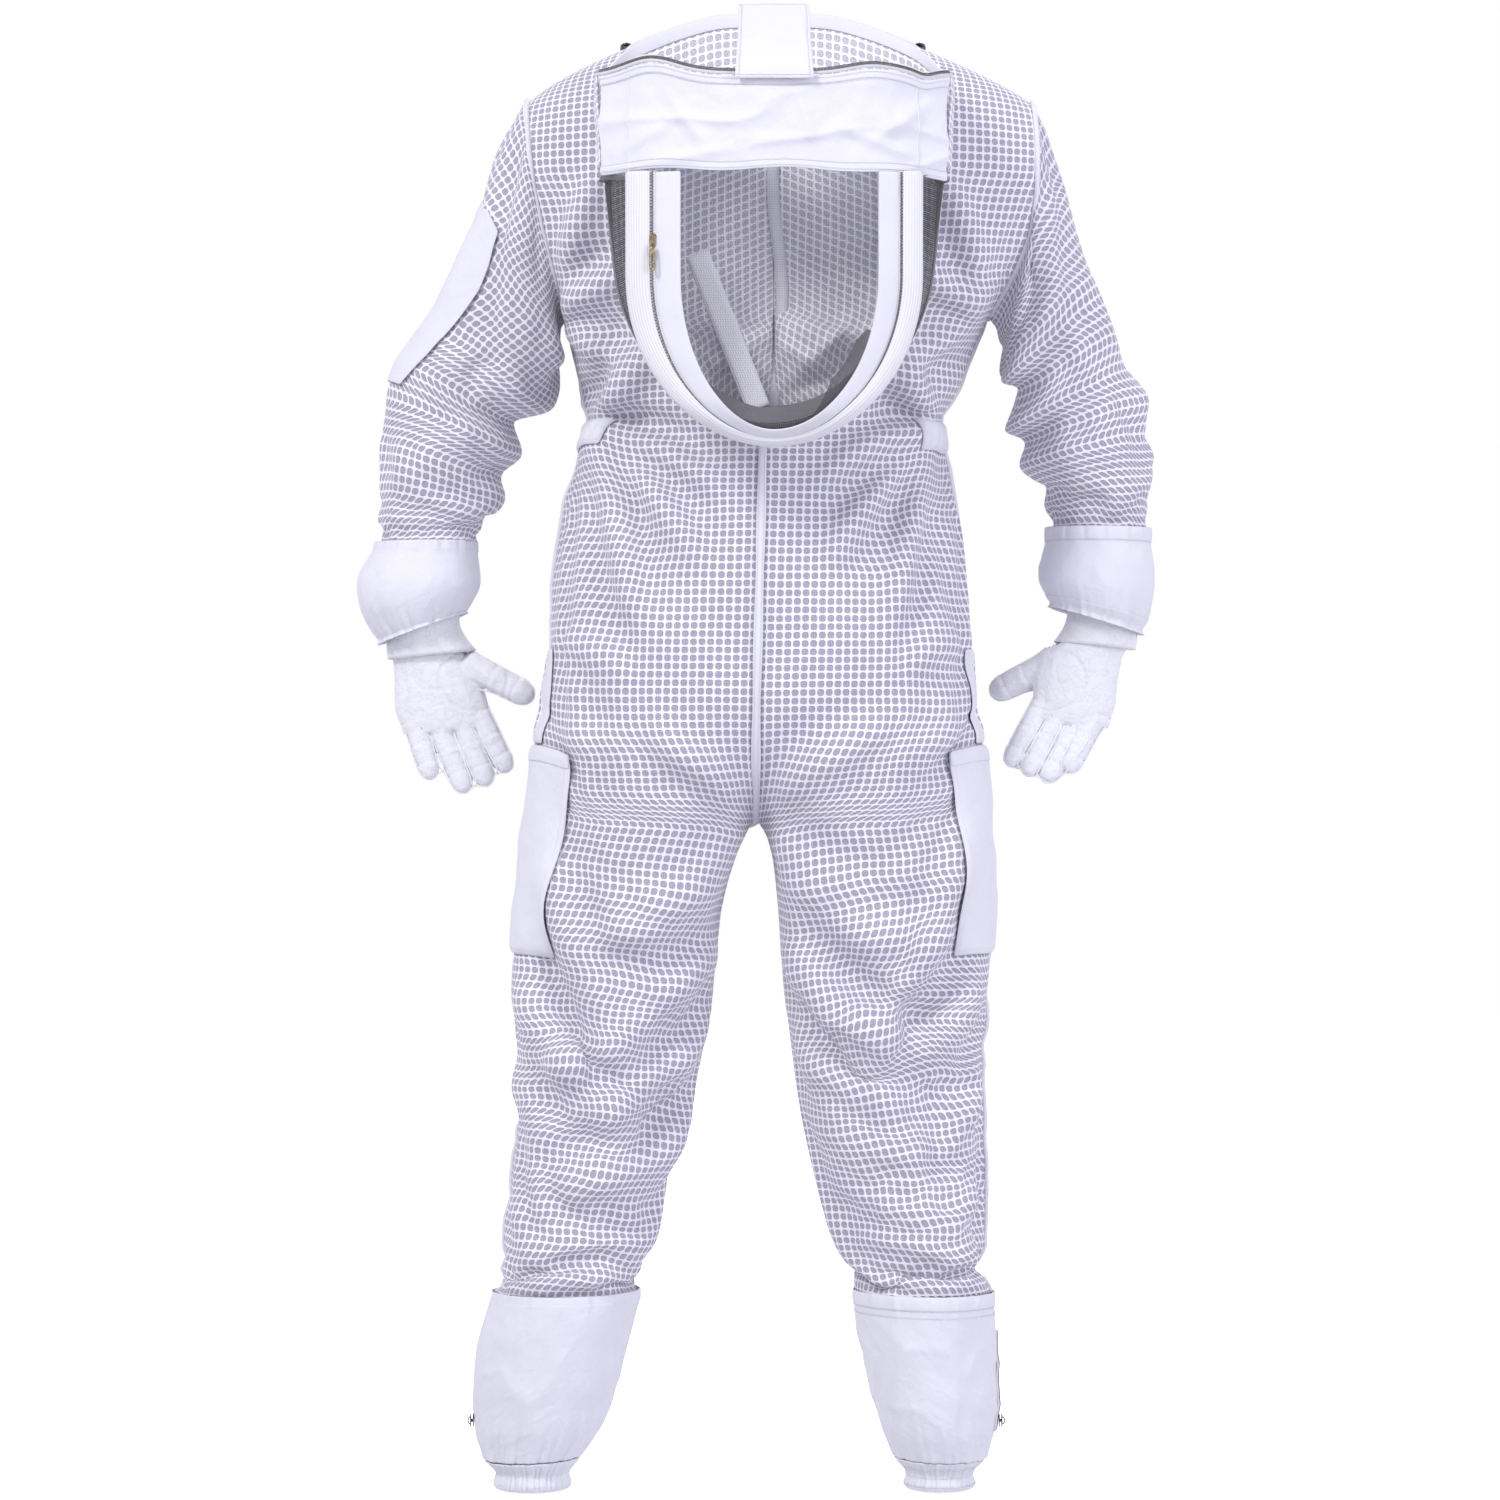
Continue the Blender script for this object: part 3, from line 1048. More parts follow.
def build_sleeve_pocket(cloth):
    tube = cloth["sleeve_left"]
    quads, _ = grid_faces(*tube.shape[:2], True)
    tree = BVHTree.FromPolygons(tube.reshape(-1, 3).tolist(), quads)
    grid = []
    for place in np.linspace(1.0, 4.6, 46):
        low = min(int(place), 8)
        part = place - low
        station = np.array(SLEEVES[-1][low]) * (1 - part) + np.array(SLEEVES[-1][low + 1]) * part
        xo, zo, xi, zi, depth, y = station
        centre = np.array([(xo + xi) / 2, y, (zo + zi) / 2])
        arm = np.array([xo - xi, 0, zo - zi]) / 2
        turned = np.interp(place, [1.0, 1.9, 2.8, 3.7, 4.6], [60, 62, 62, 58, 42])
        row = []
        for t in np.radians(np.linspace(-turned, 12, 24)):
            ray = arm * math.cos(t) + np.array([0, depth * math.sin(t), 0])
            hit, _, _, _ = tree.ray_cast(Vector(centre + ray * 1.6), Vector(-ray))
            base = np.array(hit) if hit is not None else centre + ray
            row.append(base + ray / np.linalg.norm(ray) * 0.0060)
        grid.append(row)
    grid = np.array(grid)
    relax_both_ways(grid, 18)
    out = normals_of(grid, tube.mean(axis=(0, 1)))
    soft = bumps(grid, 30.0, 31)
    grid = grid + out * (0.0018 * soft)[:, :, None]
    sheet_piece("sleeve_pocket_cloth", grid, "cotton", "suit", "sleeve_pocket", thick=0.0012, levels=1)
    threads = Heap()
    hem_lines(threads, grid, out, rows=(1, 4, 44), cols=(1, 22), lift=0.0006)
    threads.done("sleeve_pocket_stitching", "thread", "suit")


# ---------------------------------------------------------------- cuffs
CUFFS = {
    "wrist_cuff_left": (
        (-0.391, -0.5185, -0.289, -0.5175, 0.057, 0.014),
        (-0.404, -0.548, -0.290, -0.545, 0.060, 0.014),
        (-0.402, -0.578, -0.292, -0.560, 0.058, 0.014),
        (-0.394, -0.598, -0.298, -0.572, 0.053, 0.014),
        (-0.385, -0.610, -0.302, -0.580, 0.047, 0.014),
    ),
    "wrist_cuff_right": (
        (0.389, -0.5045, 0.281, -0.5035, 0.060, 0.014),
        (0.389, -0.535, 0.279, -0.532, 0.060, 0.014),
        (0.386, -0.566, 0.277, -0.550, 0.058, 0.014),
        (0.384, -0.588, 0.283, -0.564, 0.053, 0.014),
        (0.377, -0.600, 0.288, -0.573, 0.047, 0.014),
    ),
    "ankle_cuff_left": (
        (-0.2715, -1.2670, -0.1265, -1.2645, 0.078, -0.012),
        (-0.2850, -1.310, -0.136, -1.300, 0.075, -0.012),
        (-0.2885, -1.360, -0.145, -1.345, 0.070, -0.012),
        (-0.2870, -1.400, -0.162, -1.392, 0.063, -0.011),
        (-0.2790, -1.428, -0.186, -1.424, 0.052, -0.010),
    ),
    "ankle_cuff_right": (
        (0.2290, -1.2670, 0.088, -1.2645, 0.078, -0.012),
        (0.2300, -1.310, 0.092, -1.305, 0.075, -0.012),
        (0.2300, -1.360, 0.103, -1.355, 0.070, -0.012),
        (0.2270, -1.400, 0.114, -1.398, 0.063, -0.011),
        (0.2200, -1.428, 0.129, -1.426, 0.052, -0.010),
    ),
}


def pleats(turn, count, seed):
    """Uneven gathers round an edge."""
    local = np.random.default_rng(seed)
    total = np.zeros_like(turn)
    for share in (0.55, 1.0, 1.45):
        total += np.sin(turn * round(count * share) + local.uniform(0, 6.28)) * local.uniform(0.4, 0.7)
    return total


def soft_tube(name, grid, node, body, height, mat="cotton", levels=1):
    middle = grid.mean(axis=1, keepdims=True)
    out = (grid - middle) / np.linalg.norm(grid - middle, axis=2, keepdims=True)
    made = grid + out * height[:, :, None]
    sheet_piece(name, made, mat, body, node, wrap=True, thick=0.0022, levels=levels)
    return made, out


def build_cuffs():
    """Makes the cuffs and returns the line down the outer side of each."""
    threads = Heap()
    sides_of = {}
    sides = 128
    turn = np.linspace(0, 2 * math.pi, sides, endpoint=False)[None, :]
    for k, (name, stations) in enumerate(CUFFS.items()):
        wrist = name.startswith("wrist")
        grid = rings(stations, sides, 0.0035)
        rows = len(grid)
        down = np.linspace(0, 1, rows)[:, None]
        wide = bumps(grid, 20.0, 40 + k, stretch=(1, 1, 0.45))
        slack = bumps(grid, 9.0, 60 + k, 2)
        crease = 1 - 2 * np.abs(bumps(grid, 17.0, 80 + k, 2, (1, 1, 0.7)))
        height = 0.0035 * wide + 0.0030 * slack + 0.0022 * np.clip(crease, 0, 1) ** 3
        low = np.clip((down - 0.55) / 0.45, 0, 1)
        top = np.clip((0.14 - down) / 0.14, 0, 1)
        height = height * np.sin(np.pi * (0.12 + 0.76 * down)) + 0.0016 * pleats(turn, 26, 5 + k) * low**1.3
        height = height + 0.0010 * pleats(turn, 34, 15 + k) * top
        if wrist:
            height = height + 0.0045 * np.sin(np.pi * np.clip((down - 0.1) / 0.9, 0, 1)) - 0.001
        made, out = soft_tube(name + "_cloth", grid, name, "suit", height)
        sides_of[name] = made[:, 0]
        hem_lines(threads, np.concatenate([made, made[:, :1]], 1), np.concatenate([out, out[:, :1]], 1),
                  rows=(2, rows - 3) if wrist else (2, 4), lift=0.0005)
        hidden = made[0] + out[0] * 0.0004 + np.array([0, 0, 0.0075])
        band = np.concatenate([hidden[None], made[:3] + out[:3] * 0.0009])
        sheet_piece(name + "_top_band", band, "cotton_smooth", "suit", wrap=True, thick=0.0010, levels=1)
        if wrist:
            low_ring = made[-4:] + out[-4:] * 0.0010
            frill = low_ring[-1] + out[-1] * 0.003 + np.array([0, 0, -0.004]) + out[-1] * (
                0.0022 * pleats(turn[0], 22, 25 + k)[:, None])
            sheet_piece(name + "_hem", np.concatenate([low_ring, frill[None]]), "cotton_smooth", "suit", wrap=True,
                        thick=0.0010, levels=1)
    for k, word in enumerate(("left", "right")):
        xo, zo, xi, zi, depth, y = CUFFS[f"ankle_cuff_{word}"][-1]
        inset = 0.012 * (1 if xo < xi else -1)
        hem = (
            (xo, zo - 0.0008, xi, zi - 0.0008, depth, y),
            (xo + inset * 0.8, -1.434, xi - inset * 0.8, -1.434, depth - 0.008, y),
            (xo + inset, -1.445, xi - inset, -1.445, depth - 0.010, y),
            (xo + inset * 0.9, -1.456, xi - inset * 0.9, -1.456, depth - 0.009, y),
        )
        grid = rings(hem, 192, 0.0022)
        down = np.linspace(0, 1, len(grid))[:, None]
        fine = np.linspace(0, 2 * math.pi, 192, endpoint=False)[None, :]
        ruffle = 0.0011 * pleats(fine, 38, 45 + k) + 0.0012 * np.sin(down * 3 * math.pi)
        ends = np.clip(np.sin(np.pi * np.clip(down, 0.06, 0.97)) * 3, 0.25, 1)
        made, out = soft_tube(f"ankle_hem_{word}", grid, f"ankle_elastic_{word}", "suit", ruffle * ends)
        for r in (3, 7, 11):
            if r < len(made):
                stitches(threads, np.concatenate([made[r], made[r][:1]]), np.concatenate([out[r], out[r][:1]]),
                         lift=0.0004)
    threads.done("cuff_stitching", "thread", "suit")
    return sides_of


# ---------------------------------------------------------------- the hood
ARCH_W, ARCH_TOP, ARCH_TURN, ARCH_H = 0.139, -0.171, -0.270, 0.157
CHIN_TOP, CHIN_W = -0.080, 0.169


FACE_LEVELS = np.linspace(0.08, 0.444, 92)
FACE_DEPTHS = np.interp(FACE_LEVELS, [0.08, 0.17, 0.27, 0.35, 0.395, 0.412, 0.428, 0.444],
                        [-0.284, -0.286, -0.280, -0.268, -0.256, -0.240, -0.214, -0.188])
relax(FACE_DEPTHS, 8)


def face_y(x, z):
    """Depth of the hood's face surface."""
    return np.interp(-np.asarray(z), FACE_LEVELS, FACE_DEPTHS) + 1.15 * (np.asarray(x) - HOOD_X) ** 2


def arch_curve(inset, count=141):
    """The U of the arch, from its left top end round the crown to its right top end."""
    height = ARCH_H - inset * 0.27
    u = np.linspace(-1, 1, count)
    width = ARCH_W - inset * np.where(u < 0, 1.0, 0.80)
    share = np.clip((abs(u) - 0.66) / 0.34, 0, 1)
    angle = np.clip(u / 0.66, -1, 1) * math.pi / 2
    x = np.where(abs(u) > 0.66, width * np.sign(u), width * np.sin(angle))
    z = np.where(abs(u) > 0.66, ARCH_TURN + (ARCH_TOP - ARCH_TURN) * share, ARCH_TURN - height * np.cos(angle))
    return np.stack([HOOD_X + x, z], axis=1)


def arch_strip(insets, lifts, top=0.0, count=141):
    """A grid that follows the arch: across the band by inset, raised by lift towards the viewer."""
    grid = []
    for inset, lift in zip(insets, lifts):
        curve = arch_curve(inset, count)
        z = np.minimum(curve[:, 1], ARCH_TOP - top)
        grid.append(np.stack([curve[:, 0], face_y(curve[:, 0], z) - lift, z], axis=1))
    return np.array(grid)


def zip_teeth(name, line, face, body, pitch=0.0021, spread=0.0013, size=(0.0030, 0.0012, 0.0013)):
    """Two interlocking rows of teeth along a line. face holds the way each point looks."""
    heap = Heap()
    steps = lengths(line)
    for k in range(int(steps[-1] / pitch * 2)):
        d = (k + 0.5) * pitch / 2
        at, up = along_path(d, steps, line), along_path(d, steps, face)
        along = along_path(min(d + 0.002, steps[-1]), steps, line) - along_path(max(d - 0.002, 0), steps, line)
        along /= np.linalg.norm(along) + 1e-9
        up = up - along * (up @ along)
        up /= np.linalg.norm(up) + 1e-9
        side = np.cross(along, up)
        heap.add(*block(at + side * spread * (1 if k % 2 else -1) * 0.55, (side, along, up), size))
    heap.done(name, "teeth", body)


def build_chin(threads):
    """The crumpled cotton band round the hood's mouth, with the half zip on its top edge."""
    rows, cols = 34, 132
    grid = []
    for z in np.linspace(CHIN_TOP, ARCH_TOP + 0.0015, rows):
        share = (CHIN_TOP - z) / 0.09
        u = np.linspace(-1, 1, cols)
        x = HOOD_X + CHIN_W * u * (1 - 0.02 * share)
        y = face_y(HOOD_X, z) + 0.062 * abs(u) ** 2.6 * (1 - 0.25 * share)
        top = 0.004 * abs(u) ** 3 + 0.012 * np.exp(-(((u + 0.70) / 0.20) ** 2)) - 0.003 * np.exp(-((u / 0.4) ** 2))
        top += 0.006 * np.exp(-(((u - 0.56) / 0.18) ** 2)) - 0.004 * np.exp(-(((u - 0.86) / 0.07) ** 2))
        low = -0.006 * np.exp(-(((u - 1.0) / 0.4) ** 2)) + 0.0016 * np.sin(u * 9 + 1) - 0.001
        grid.append(np.stack([x, y, z + top * (1 - share) + low * share], axis=1))
    grid = np.array(grid)
    out = normals_of(grid, np.array([HOOD_X, 0.3, -0.12]))
    soft = bumps(grid, 15.0, 101, stretch=(1, 0, 1))
    crease = 1 - 2.2 * np.abs(bumps(grid, 13.0, 103, 2, (0.55, 0, 1.5)))
    down = np.linspace(0, 1, rows)[:, None]
    free = np.sin(np.pi * (0.10 + 0.80 * down))
    lift = 0.0052 * soft * free + 0.0046 * np.clip(crease, 0, 1) ** 2.5 * free - 0.0014
    creases = (
        (-0.150, -0.160, -0.070, -0.112, 0.006, 0.004),
        (-0.125, -0.166, -0.02, -0.150, 0.005, 0.003),
        (0.165, -0.098, 0.09, -0.150, 0.006, 0.004),
        (0.15, -0.160, 0.06, -0.128, 0.005, 0.0035),
        (-0.10, -0.090, -0.05, -0.160, 0.006, 0.003),
        (0.03, -0.092, 0.05, -0.165, 0.006, 0.003),
    )
    for x0, z0, x1, z1, width, depth in creases:
        a, b = np.array([x0, z0]), np.array([x1, z1])
        size = np.linalg.norm(b - a)
        along = (b - a) / size
        t = ((grid[..., 0] - a[0]) * along[0] + (grid[..., 2] - a[1]) * along[1]) / size
        off = -(grid[..., 0] - a[0]) * along[1] + (grid[..., 2] - a[1]) * along[0]
        lift += depth * np.clip(np.sin(np.pi * np.clip(t, 0, 1)), 0, 1) * np.exp(-((off / width) ** 2))
    made = grid + out * lift[:, :, None]
    sheet_piece("chin_band_cloth", made, "cotton", "hood", "chin_band", thick=0.0020, levels=1)
    for first, last in ((0, 4), (rows - 4, rows)):
        sheet_piece(f"chin_hem_{first}", made[first:last] + out[first:last] * 0.0010, "cotton_smooth", "hood",
                    thick=0.0010, levels=1)
    hem_lines(threads, made, out, rows=(1, 3, rows - 4, rows - 2), lift=0.0014)
    for place in (0.085, 0.915):
        col = int(place * (cols - 1))
        cord_piece(f"chin_seam_{col}", made[:, col] + out[:, col] * 0.0002, 0.0010, "cotton_smooth", "hood", 6)
    top = made[0]
    edge = np.stack([top + (0, 0.0004, k) for k in (0.0008, 0.0030, 0.0052)])
    sheet_piece("chin_zip_tape", edge, "tape", "hood", "neck_zip_hood_side", thick=0.0012)
    zip_teeth("chin_zip_teeth", resample(top + (0, -0.0004, 0.0054), 300), np.tile([0, -1.0, 0.25], (300, 1)),
              "hood", pitch=0.0027, spread=0.0, size=(0.0030, 0.0010, 0.0024))
    for side, word in ((-1, "left"), (1, "right")):
        u = np.linspace(0.30, 0.97, 40)
        line = resample(top, 400)[np.clip(((side * u + 1) / 2 * 399).astype(int), 0, 399)]
        leaf = np.sin(np.pi * np.linspace(0, 1, 40) ** 1.6)[:, None]
        facing = np.stack([line + leaf * np.array([0, 0.012 * k, 0.0035 * k]) + (0, 0.004, 0.004)
                           for k in range(4)])
        sheet_piece(f"neck_facing_{word}", facing, "cotton_smooth", "hood", thick=0.0010, flip=side > 0)


def build_arch(threads):
    """The hooped casing, its zip, and the framed window of veil net."""
    n = 141
    casing = arch_strip(np.linspace(0, 0.0205, 11), 0.002 + 0.0026 * np.sin(np.pi * np.linspace(0, 1, 11)) ** 0.7)
    flat = arc_uv(casing.transpose(1, 0, 2)).transpose(1, 0, 2)
    sheet_piece("arch_casing", casing, "ribbed", "hood", "hood_arch", uv=flat, thick=0.0030, levels=1)
    cord_piece("arch_edge_roll", casing[0] + (0, 0.001, 0), 0.0024, "cotton_smooth", "hood")
    out = np.tile([0, -1.0, 0], (n, 1))
    for r in (1, 9):
        stitches(threads, casing[r], out, lift=0.0008)
    tape = arch_strip((0.0206, 0.0222, 0.0235, 0.0248, 0.0264), (0.0018, 0.0010, 0.0009, 0.0010, 0.0018))
    sheet_piece("veil_zip_tape", tape, "tape", "hood", "veil_zip", thick=0.0010)
    line = arch_strip((0.0235,), (0.0018,))[0]
    zip_teeth("veil_zip_teeth", line, out, "hood", pitch=0.0029)
    frame_band = arch_strip(np.linspace(0.0265, 0.0505, 9),
                            0.0006 + 0.0010 * np.sin(np.pi * np.linspace(0, 1, 9)) ** 0.5, top=0.001)
    frame_band[..., 1] -= 0.0009 * bumps(frame_band, 24.0, 120, 2)
    sheet_piece("window_frame_cloth", frame_band, "cotton_smooth", "window", "window_frame", thick=0.0022, levels=1)
    stitched = Heap()
    for r in (1, 7):
        stitches(stitched, frame_band[r], out, lift=0.0006)
    stitched.done("window_stitching", "thread", "window")
    grid = []
    edge = arch_curve(0.0500, 401)
    legs = edge[:201], edge[:199:-1]
    top, bottom = ARCH_TOP - 0.0015, edge[200, 1] + 0.0006
    for share in np.linspace(0, 1, 48):
        z = top + (bottom - top) * math.sin(share * math.pi / 2)
        left, right = (np.interp(-z, -leg[:, 1], leg[:, 0]) for leg in legs)
        x = np.linspace(left, right, 40)
        grid.append(np.stack([x, face_y(x, z) + 0.0012, np.full(40, z)], axis=1))
    grid = np.array(grid)
    uv = np.stack([grid[:, :, 0], grid[:, :, 2]], axis=2)
    sheet_piece("veil_net_cloth", grid, "net", "window", "veil_net", uv=uv)


def catmull(keys, steps, d):
    i = min(int(np.searchsorted(steps, d, side="right")) - 1, len(keys) - 2)
    u = (d - steps[i]) / (steps[i + 1] - steps[i])
    p0, p1, p2, p3 = keys[max(i - 1, 0)], keys[i], keys[i + 1], keys[min(i + 2, len(keys) - 1)]
    return 0.5 * (2 * p1 + (p2 - p0) * u + (2 * p0 - 5 * p1 + 4 * p2 - p3) * u**2
                  + (3 * p1 - p0 - 3 * p2 + p3) * u**3)


def hood_profile(side, t, count):
    """From the chin corner or the arch edge, round the side, to the centre seam of the hood's back."""
    if t <= 0.25:
        share = t / 0.25
        a = np.array([HOOD_X + side * (CHIN_W - 0.004 * share), -0.217 - 0.008 * share, -0.070 - 0.100 * share])
    else:
        curve = arch_curve(0.0035, 201)
        x, z = curve[int(round((t - 0.25) / 0.75 * 100))]
        x = HOOD_X + side * abs(x - HOOD_X)
        a = np.array([x, face_y(x, z) + 0.005, z])
    level = min(a[2], -0.07)
    width = abs(a[0] - HOOD_X)
    bulge = 0.001 if t <= 0.25 else float(np.interp(-level, [0.07, 0.175, 0.35, 0.43], [0.001, 0.027, 0.002, 0.0]))
    near = float(np.interp(-level, [0.0, 0.10, 0.20, 0.30, 0.43], [-0.112, -0.140, -0.158, -0.163, -0.168]))
    c_level = float(np.interp(t, [0, 0.25, 1.0], [-0.001, -0.10, -0.400]))
    c_near = float(np.interp(-c_level, [0.0, 0.10, 0.20, 0.30, 0.43], [-0.112, -0.143, -0.160, -0.165, -0.168]))
    rise = 0.010 * min(max((t - 0.5) / 0.3, 0), 1)
    s = np.array([HOOD_X + side * (width + bulge - 0.4 * rise), (a[1] + near) / 2 - 0.006,
                  level - 0.002 * (1 + t) + rise])
    top = max(0.0, 1 - t / 0.25)
    n = np.array([HOOD_X + side * width * 0.80, near, level + (0.4 + 0.16 * top) * (c_level - level)])
    c = np.array([HOOD_X + side * 0.0003, c_near, c_level])
    keys = np.array([a, s, n, (n * 0.45 + c * 0.55) + (0, -0.001, 0.012 * top), c])
    steps = lengths(keys)
    return np.array([catmull(keys, steps, d) for d in np.linspace(0, steps[-1], count)])


CRUMPLES = (
    (-0.045, -0.345, 0.55, 0.006, 0.045, 0.009), (0.030, -0.338, -0.60, 0.006, 0.040, 0.010),
    (0.060, -0.325, 0.90, 0.007, 0.030, 0.008), (-0.010, -0.362, 0.80, 0.005, 0.030, 0.008),
    (0.045, -0.365, 0.40, 0.006, 0.035, -0.006), (-0.070, -0.322, -0.35, 0.006, 0.030, -0.006),
)


def build_bag():
    """The mesh hood behind the veil, slack and crumpled, and the dark net at its sides."""
    rows, fine = 66, 121
    levels = np.concatenate([np.linspace(0, 0.25, 16), np.linspace(0.262, 1.0, rows - 16)])
    inward = np.array([HOOD_X, -0.205, -0.20])
    seam = None
    for side, word in ((-1, "left"), (1, "right")):
        lines = np.array([hood_profile(side, t, fine) for t in levels])
        shell, dark = [], []
        for t, line in zip(levels, lines):
            share = float(np.interp(t, [0.25, 0.62, 0.66], [0.28, 0.10, 0.0])) if t > 0.24 else 0.0
            steps = np.linspace(0, 1, fine)
            pick = lambda a, b, m: np.stack([np.interp(np.linspace(a, b, m), steps, line[:, k]) for k in range(3)],
                                            axis=1)
            shell.append(pick(share, 1.0, 46))
            if share > 0.004:
                dark.append(pick(0.0, share + 0.004, 12))
        shell, dark = np.array(shell), np.array(dark)
        out = -normals_of(shell, inward)
        x, z = shell[..., 0], shell[..., 2]
        free = (np.sin(np.pi * np.linspace(0, 1, 46))[None, :] ** 0.5
                * np.sin(np.pi * np.linspace(0.02, 1, rows))[:, None] ** 0.4)
        lump = 0.5 * bumps(shell, 13.0, 140 + side, stretch=(1, 0.4, 1.4))
        across = x - HOOD_X
        lip = z + 0.304 + 0.09 * np.abs(across - 0.012) - 0.004 * np.sin(across * 70)
        folds = 0.036 / (1 + np.exp(np.clip(lip / 0.0022, -30, 30))) * np.exp(-(((z + 0.312) / 0.050) ** 2))
        folds *= np.exp(-((across / 0.095) ** 4))
        for x0, z0, lean, width, length, depth in CRUMPLES:
            off = (z - z0) - lean * (x - x0)
            folds += 1.3 * depth * np.exp(-((off / width) ** 2) - ((x - x0) / length) ** 2)
        folds += 0.004 * np.exp(-(((z + 0.245 - 0.25 * across) / 0.010) ** 2))
        shell = shell + out * (np.clip(0.008 * lump + folds, -0.014, 0.050) * free)[:, :, None]
        uv = arc_uv(shell[:, ::-1])[:, ::-1]
        sheet_piece(f"hood_back_cloth_{word}", shell, "mesh_hood", "hood", f"hood_back_{word}", uv=uv, thick=0.0018,
                    levels=1, flip=side > 0)
        sheet_piece(f"side_veil_cloth_{word}", dark, "side_net", "hood", f"side_veil_{word}", flip=side > 0)
        for at, width in ((0, 0.0170), (-2, 0.0040)):
            line = dark[:, at]
            away = normals_of(dark, inward)[:, at]
            beside = dark[:, 1] - dark[:, 0]
            beside /= np.linalg.norm(beside, axis=1, keepdims=True) + 1e-9
            strip = np.stack([line + away * 0.0006 + beside * w for w in (-width / 2, 0.0, width / 2)], axis=1)
            sheet_piece(f"veil_binding_{word}_{at % 7}", strip, "binding", "hood", thick=0.0010, flip=side > 0)
        edge = shell[:3] + out[:3] * 0.0014
        sheet_piece(f"hood_edge_binding_{word}", edge, "cotton_smooth", "hood", thick=0.0012, levels=1,
                    flip=side > 0)
        if side < 0:
            seam = shell[:, -1]
    line = resample(seam + (0, -0.0020, 0), 120)
    wave_x = 0.0045 * np.sin(np.linspace(0, 11, 120)) + 0.004
    tape = np.stack([line + wave_x[:, None] * (1, 0, 0) + (u * 0.0060, -0.0008 * (1 - abs(u)), 0)
                     for u in (-1.0, 0.0, 1.0)], axis=1)
    sheet_piece("hood_centre_tape", tape, "cotton_smooth", "hood", thick=0.0010)


def build_hood_inside():
    """Sweatband, head strap and the dark corner net that show through the veil."""
    grid = []
    for u in np.radians(np.linspace(-58, 58, 60)):
        row = []
        for w in np.linspace(0, 1, 9):
            puff = 0.0035 * math.sin(math.pi * w) * (0.7 + 0.3 * math.cos(u * 26))
            radius_x, radius_z = 0.116 - 0.012 * w - puff * 0.6, 0.128 - 0.024 * w - puff * 0.6
            row.append((HOOD_X + radius_x * math.sin(u), -0.219 + 0.026 * w, -0.285 - radius_z * math.cos(u)))
        grid.append(row)
    pad = sheet_piece("sweatband_pad", grid, "pad", "hood", "sweatband", thick=0.0040, levels=1, offset=0.0)
    low, high = np.array([-0.007, -0.199, -0.391]), np.array([-0.066, -0.193, -0.242])
    along = (high - low) / np.linalg.norm(high - low)
    across = np.cross(along, (0, 1, 0))
    across /= np.linalg.norm(across)
    strap = []
    for share in np.linspace(0, 1, 40):
        sag = np.array([0, 0.0025 * math.sin(share * 5.0), 0])
        p = low + (high - low) * share + sag
        strap.append([p + across * w for w in np.linspace(-0.0115, 0.0115, 5)])
    strap = np.array(strap)
    piece = sheet_piece("head_strap_webbing", strap, "strap", "hood", "head_strap", thick=0.0016)
    corner = []
    for u in np.radians(np.linspace(-74, 70, 60)):
        wide = float(np.interp(math.degrees(u), [-74, -20, 20, 36, 62, 70],
                               [0.010, 0.008, 0.010, 0.030, 0.034, 0.028]))
        reach = [1 - k * wide / 0.13 for k in (-0.05, 0.3, 0.65, 1.0)]
        corner.append([(HOOD_X + 0.121 * r * math.sin(u), -0.223 + 0.03 * (1 - r), -0.280 - 0.136 * r * math.cos(u))
                       for r in reach])
    sheet_piece("corner_net", np.array(corner), "side_net", "hood")


def build_flap():
    path = np.array([(-0.2915, -0.086, 0.0375), (-0.2905, -0.073, 0.0368), (-0.279, -0.056, 0.0355),
                     (-0.259, -0.038, 0.0345), (-0.237, -0.02, 0.0345), (-0.216, -0.004, 0.0335)])
    fine = resample(path, 34)
    relax(fine, 6)
    u = np.linspace(-1, 1, 22)
    grid = np.array([np.stack([HOOD_X + half * u, np.full(22, y), np.full(22, z)], axis=1) for y, z, half in fine])
    out = normals_of(grid, np.array([HOOD_X, -0.1, -0.2]))
    soft = bumps(grid, 28.0, 150, 2)
    edge = np.sin(np.pi * np.linspace(0, 1, 34))[:, None] ** 0.6
    made = grid + out * (0.0016 * soft * edge + 0.0006)[:, :, None]
    piece = sheet_piece("neck_flap_cloth", made, "cotton", "flap", "neck_flap", thick=0.0018, levels=1, flip=True)
    sewn = Heap()
    hem_lines(sewn, made, out, rows=(1, 32), cols=(1, 20), lift=0.0004)
    sewn = sewn.done("neck_flap_stitching", "thread", "flap")


def neck_ring(angle, grow=0.0, lift=0.0):
    """Points on the neckline zip; 0 is at the front, pi at the back."""
    angle = np.asarray(angle, float)
    across, along = np.sin(angle), np.cos(angle)
    reach = np.where(along > 0, 0.150, 0.080) + grow
    flat = np.stack([(0.150 + grow) * across, reach * along * math.cos(NECK_TILT),
                     -reach * along * math.sin(NECK_TILT)], axis=-1)
    return np.array(NECK_C) + flat + NECK_UP * lift


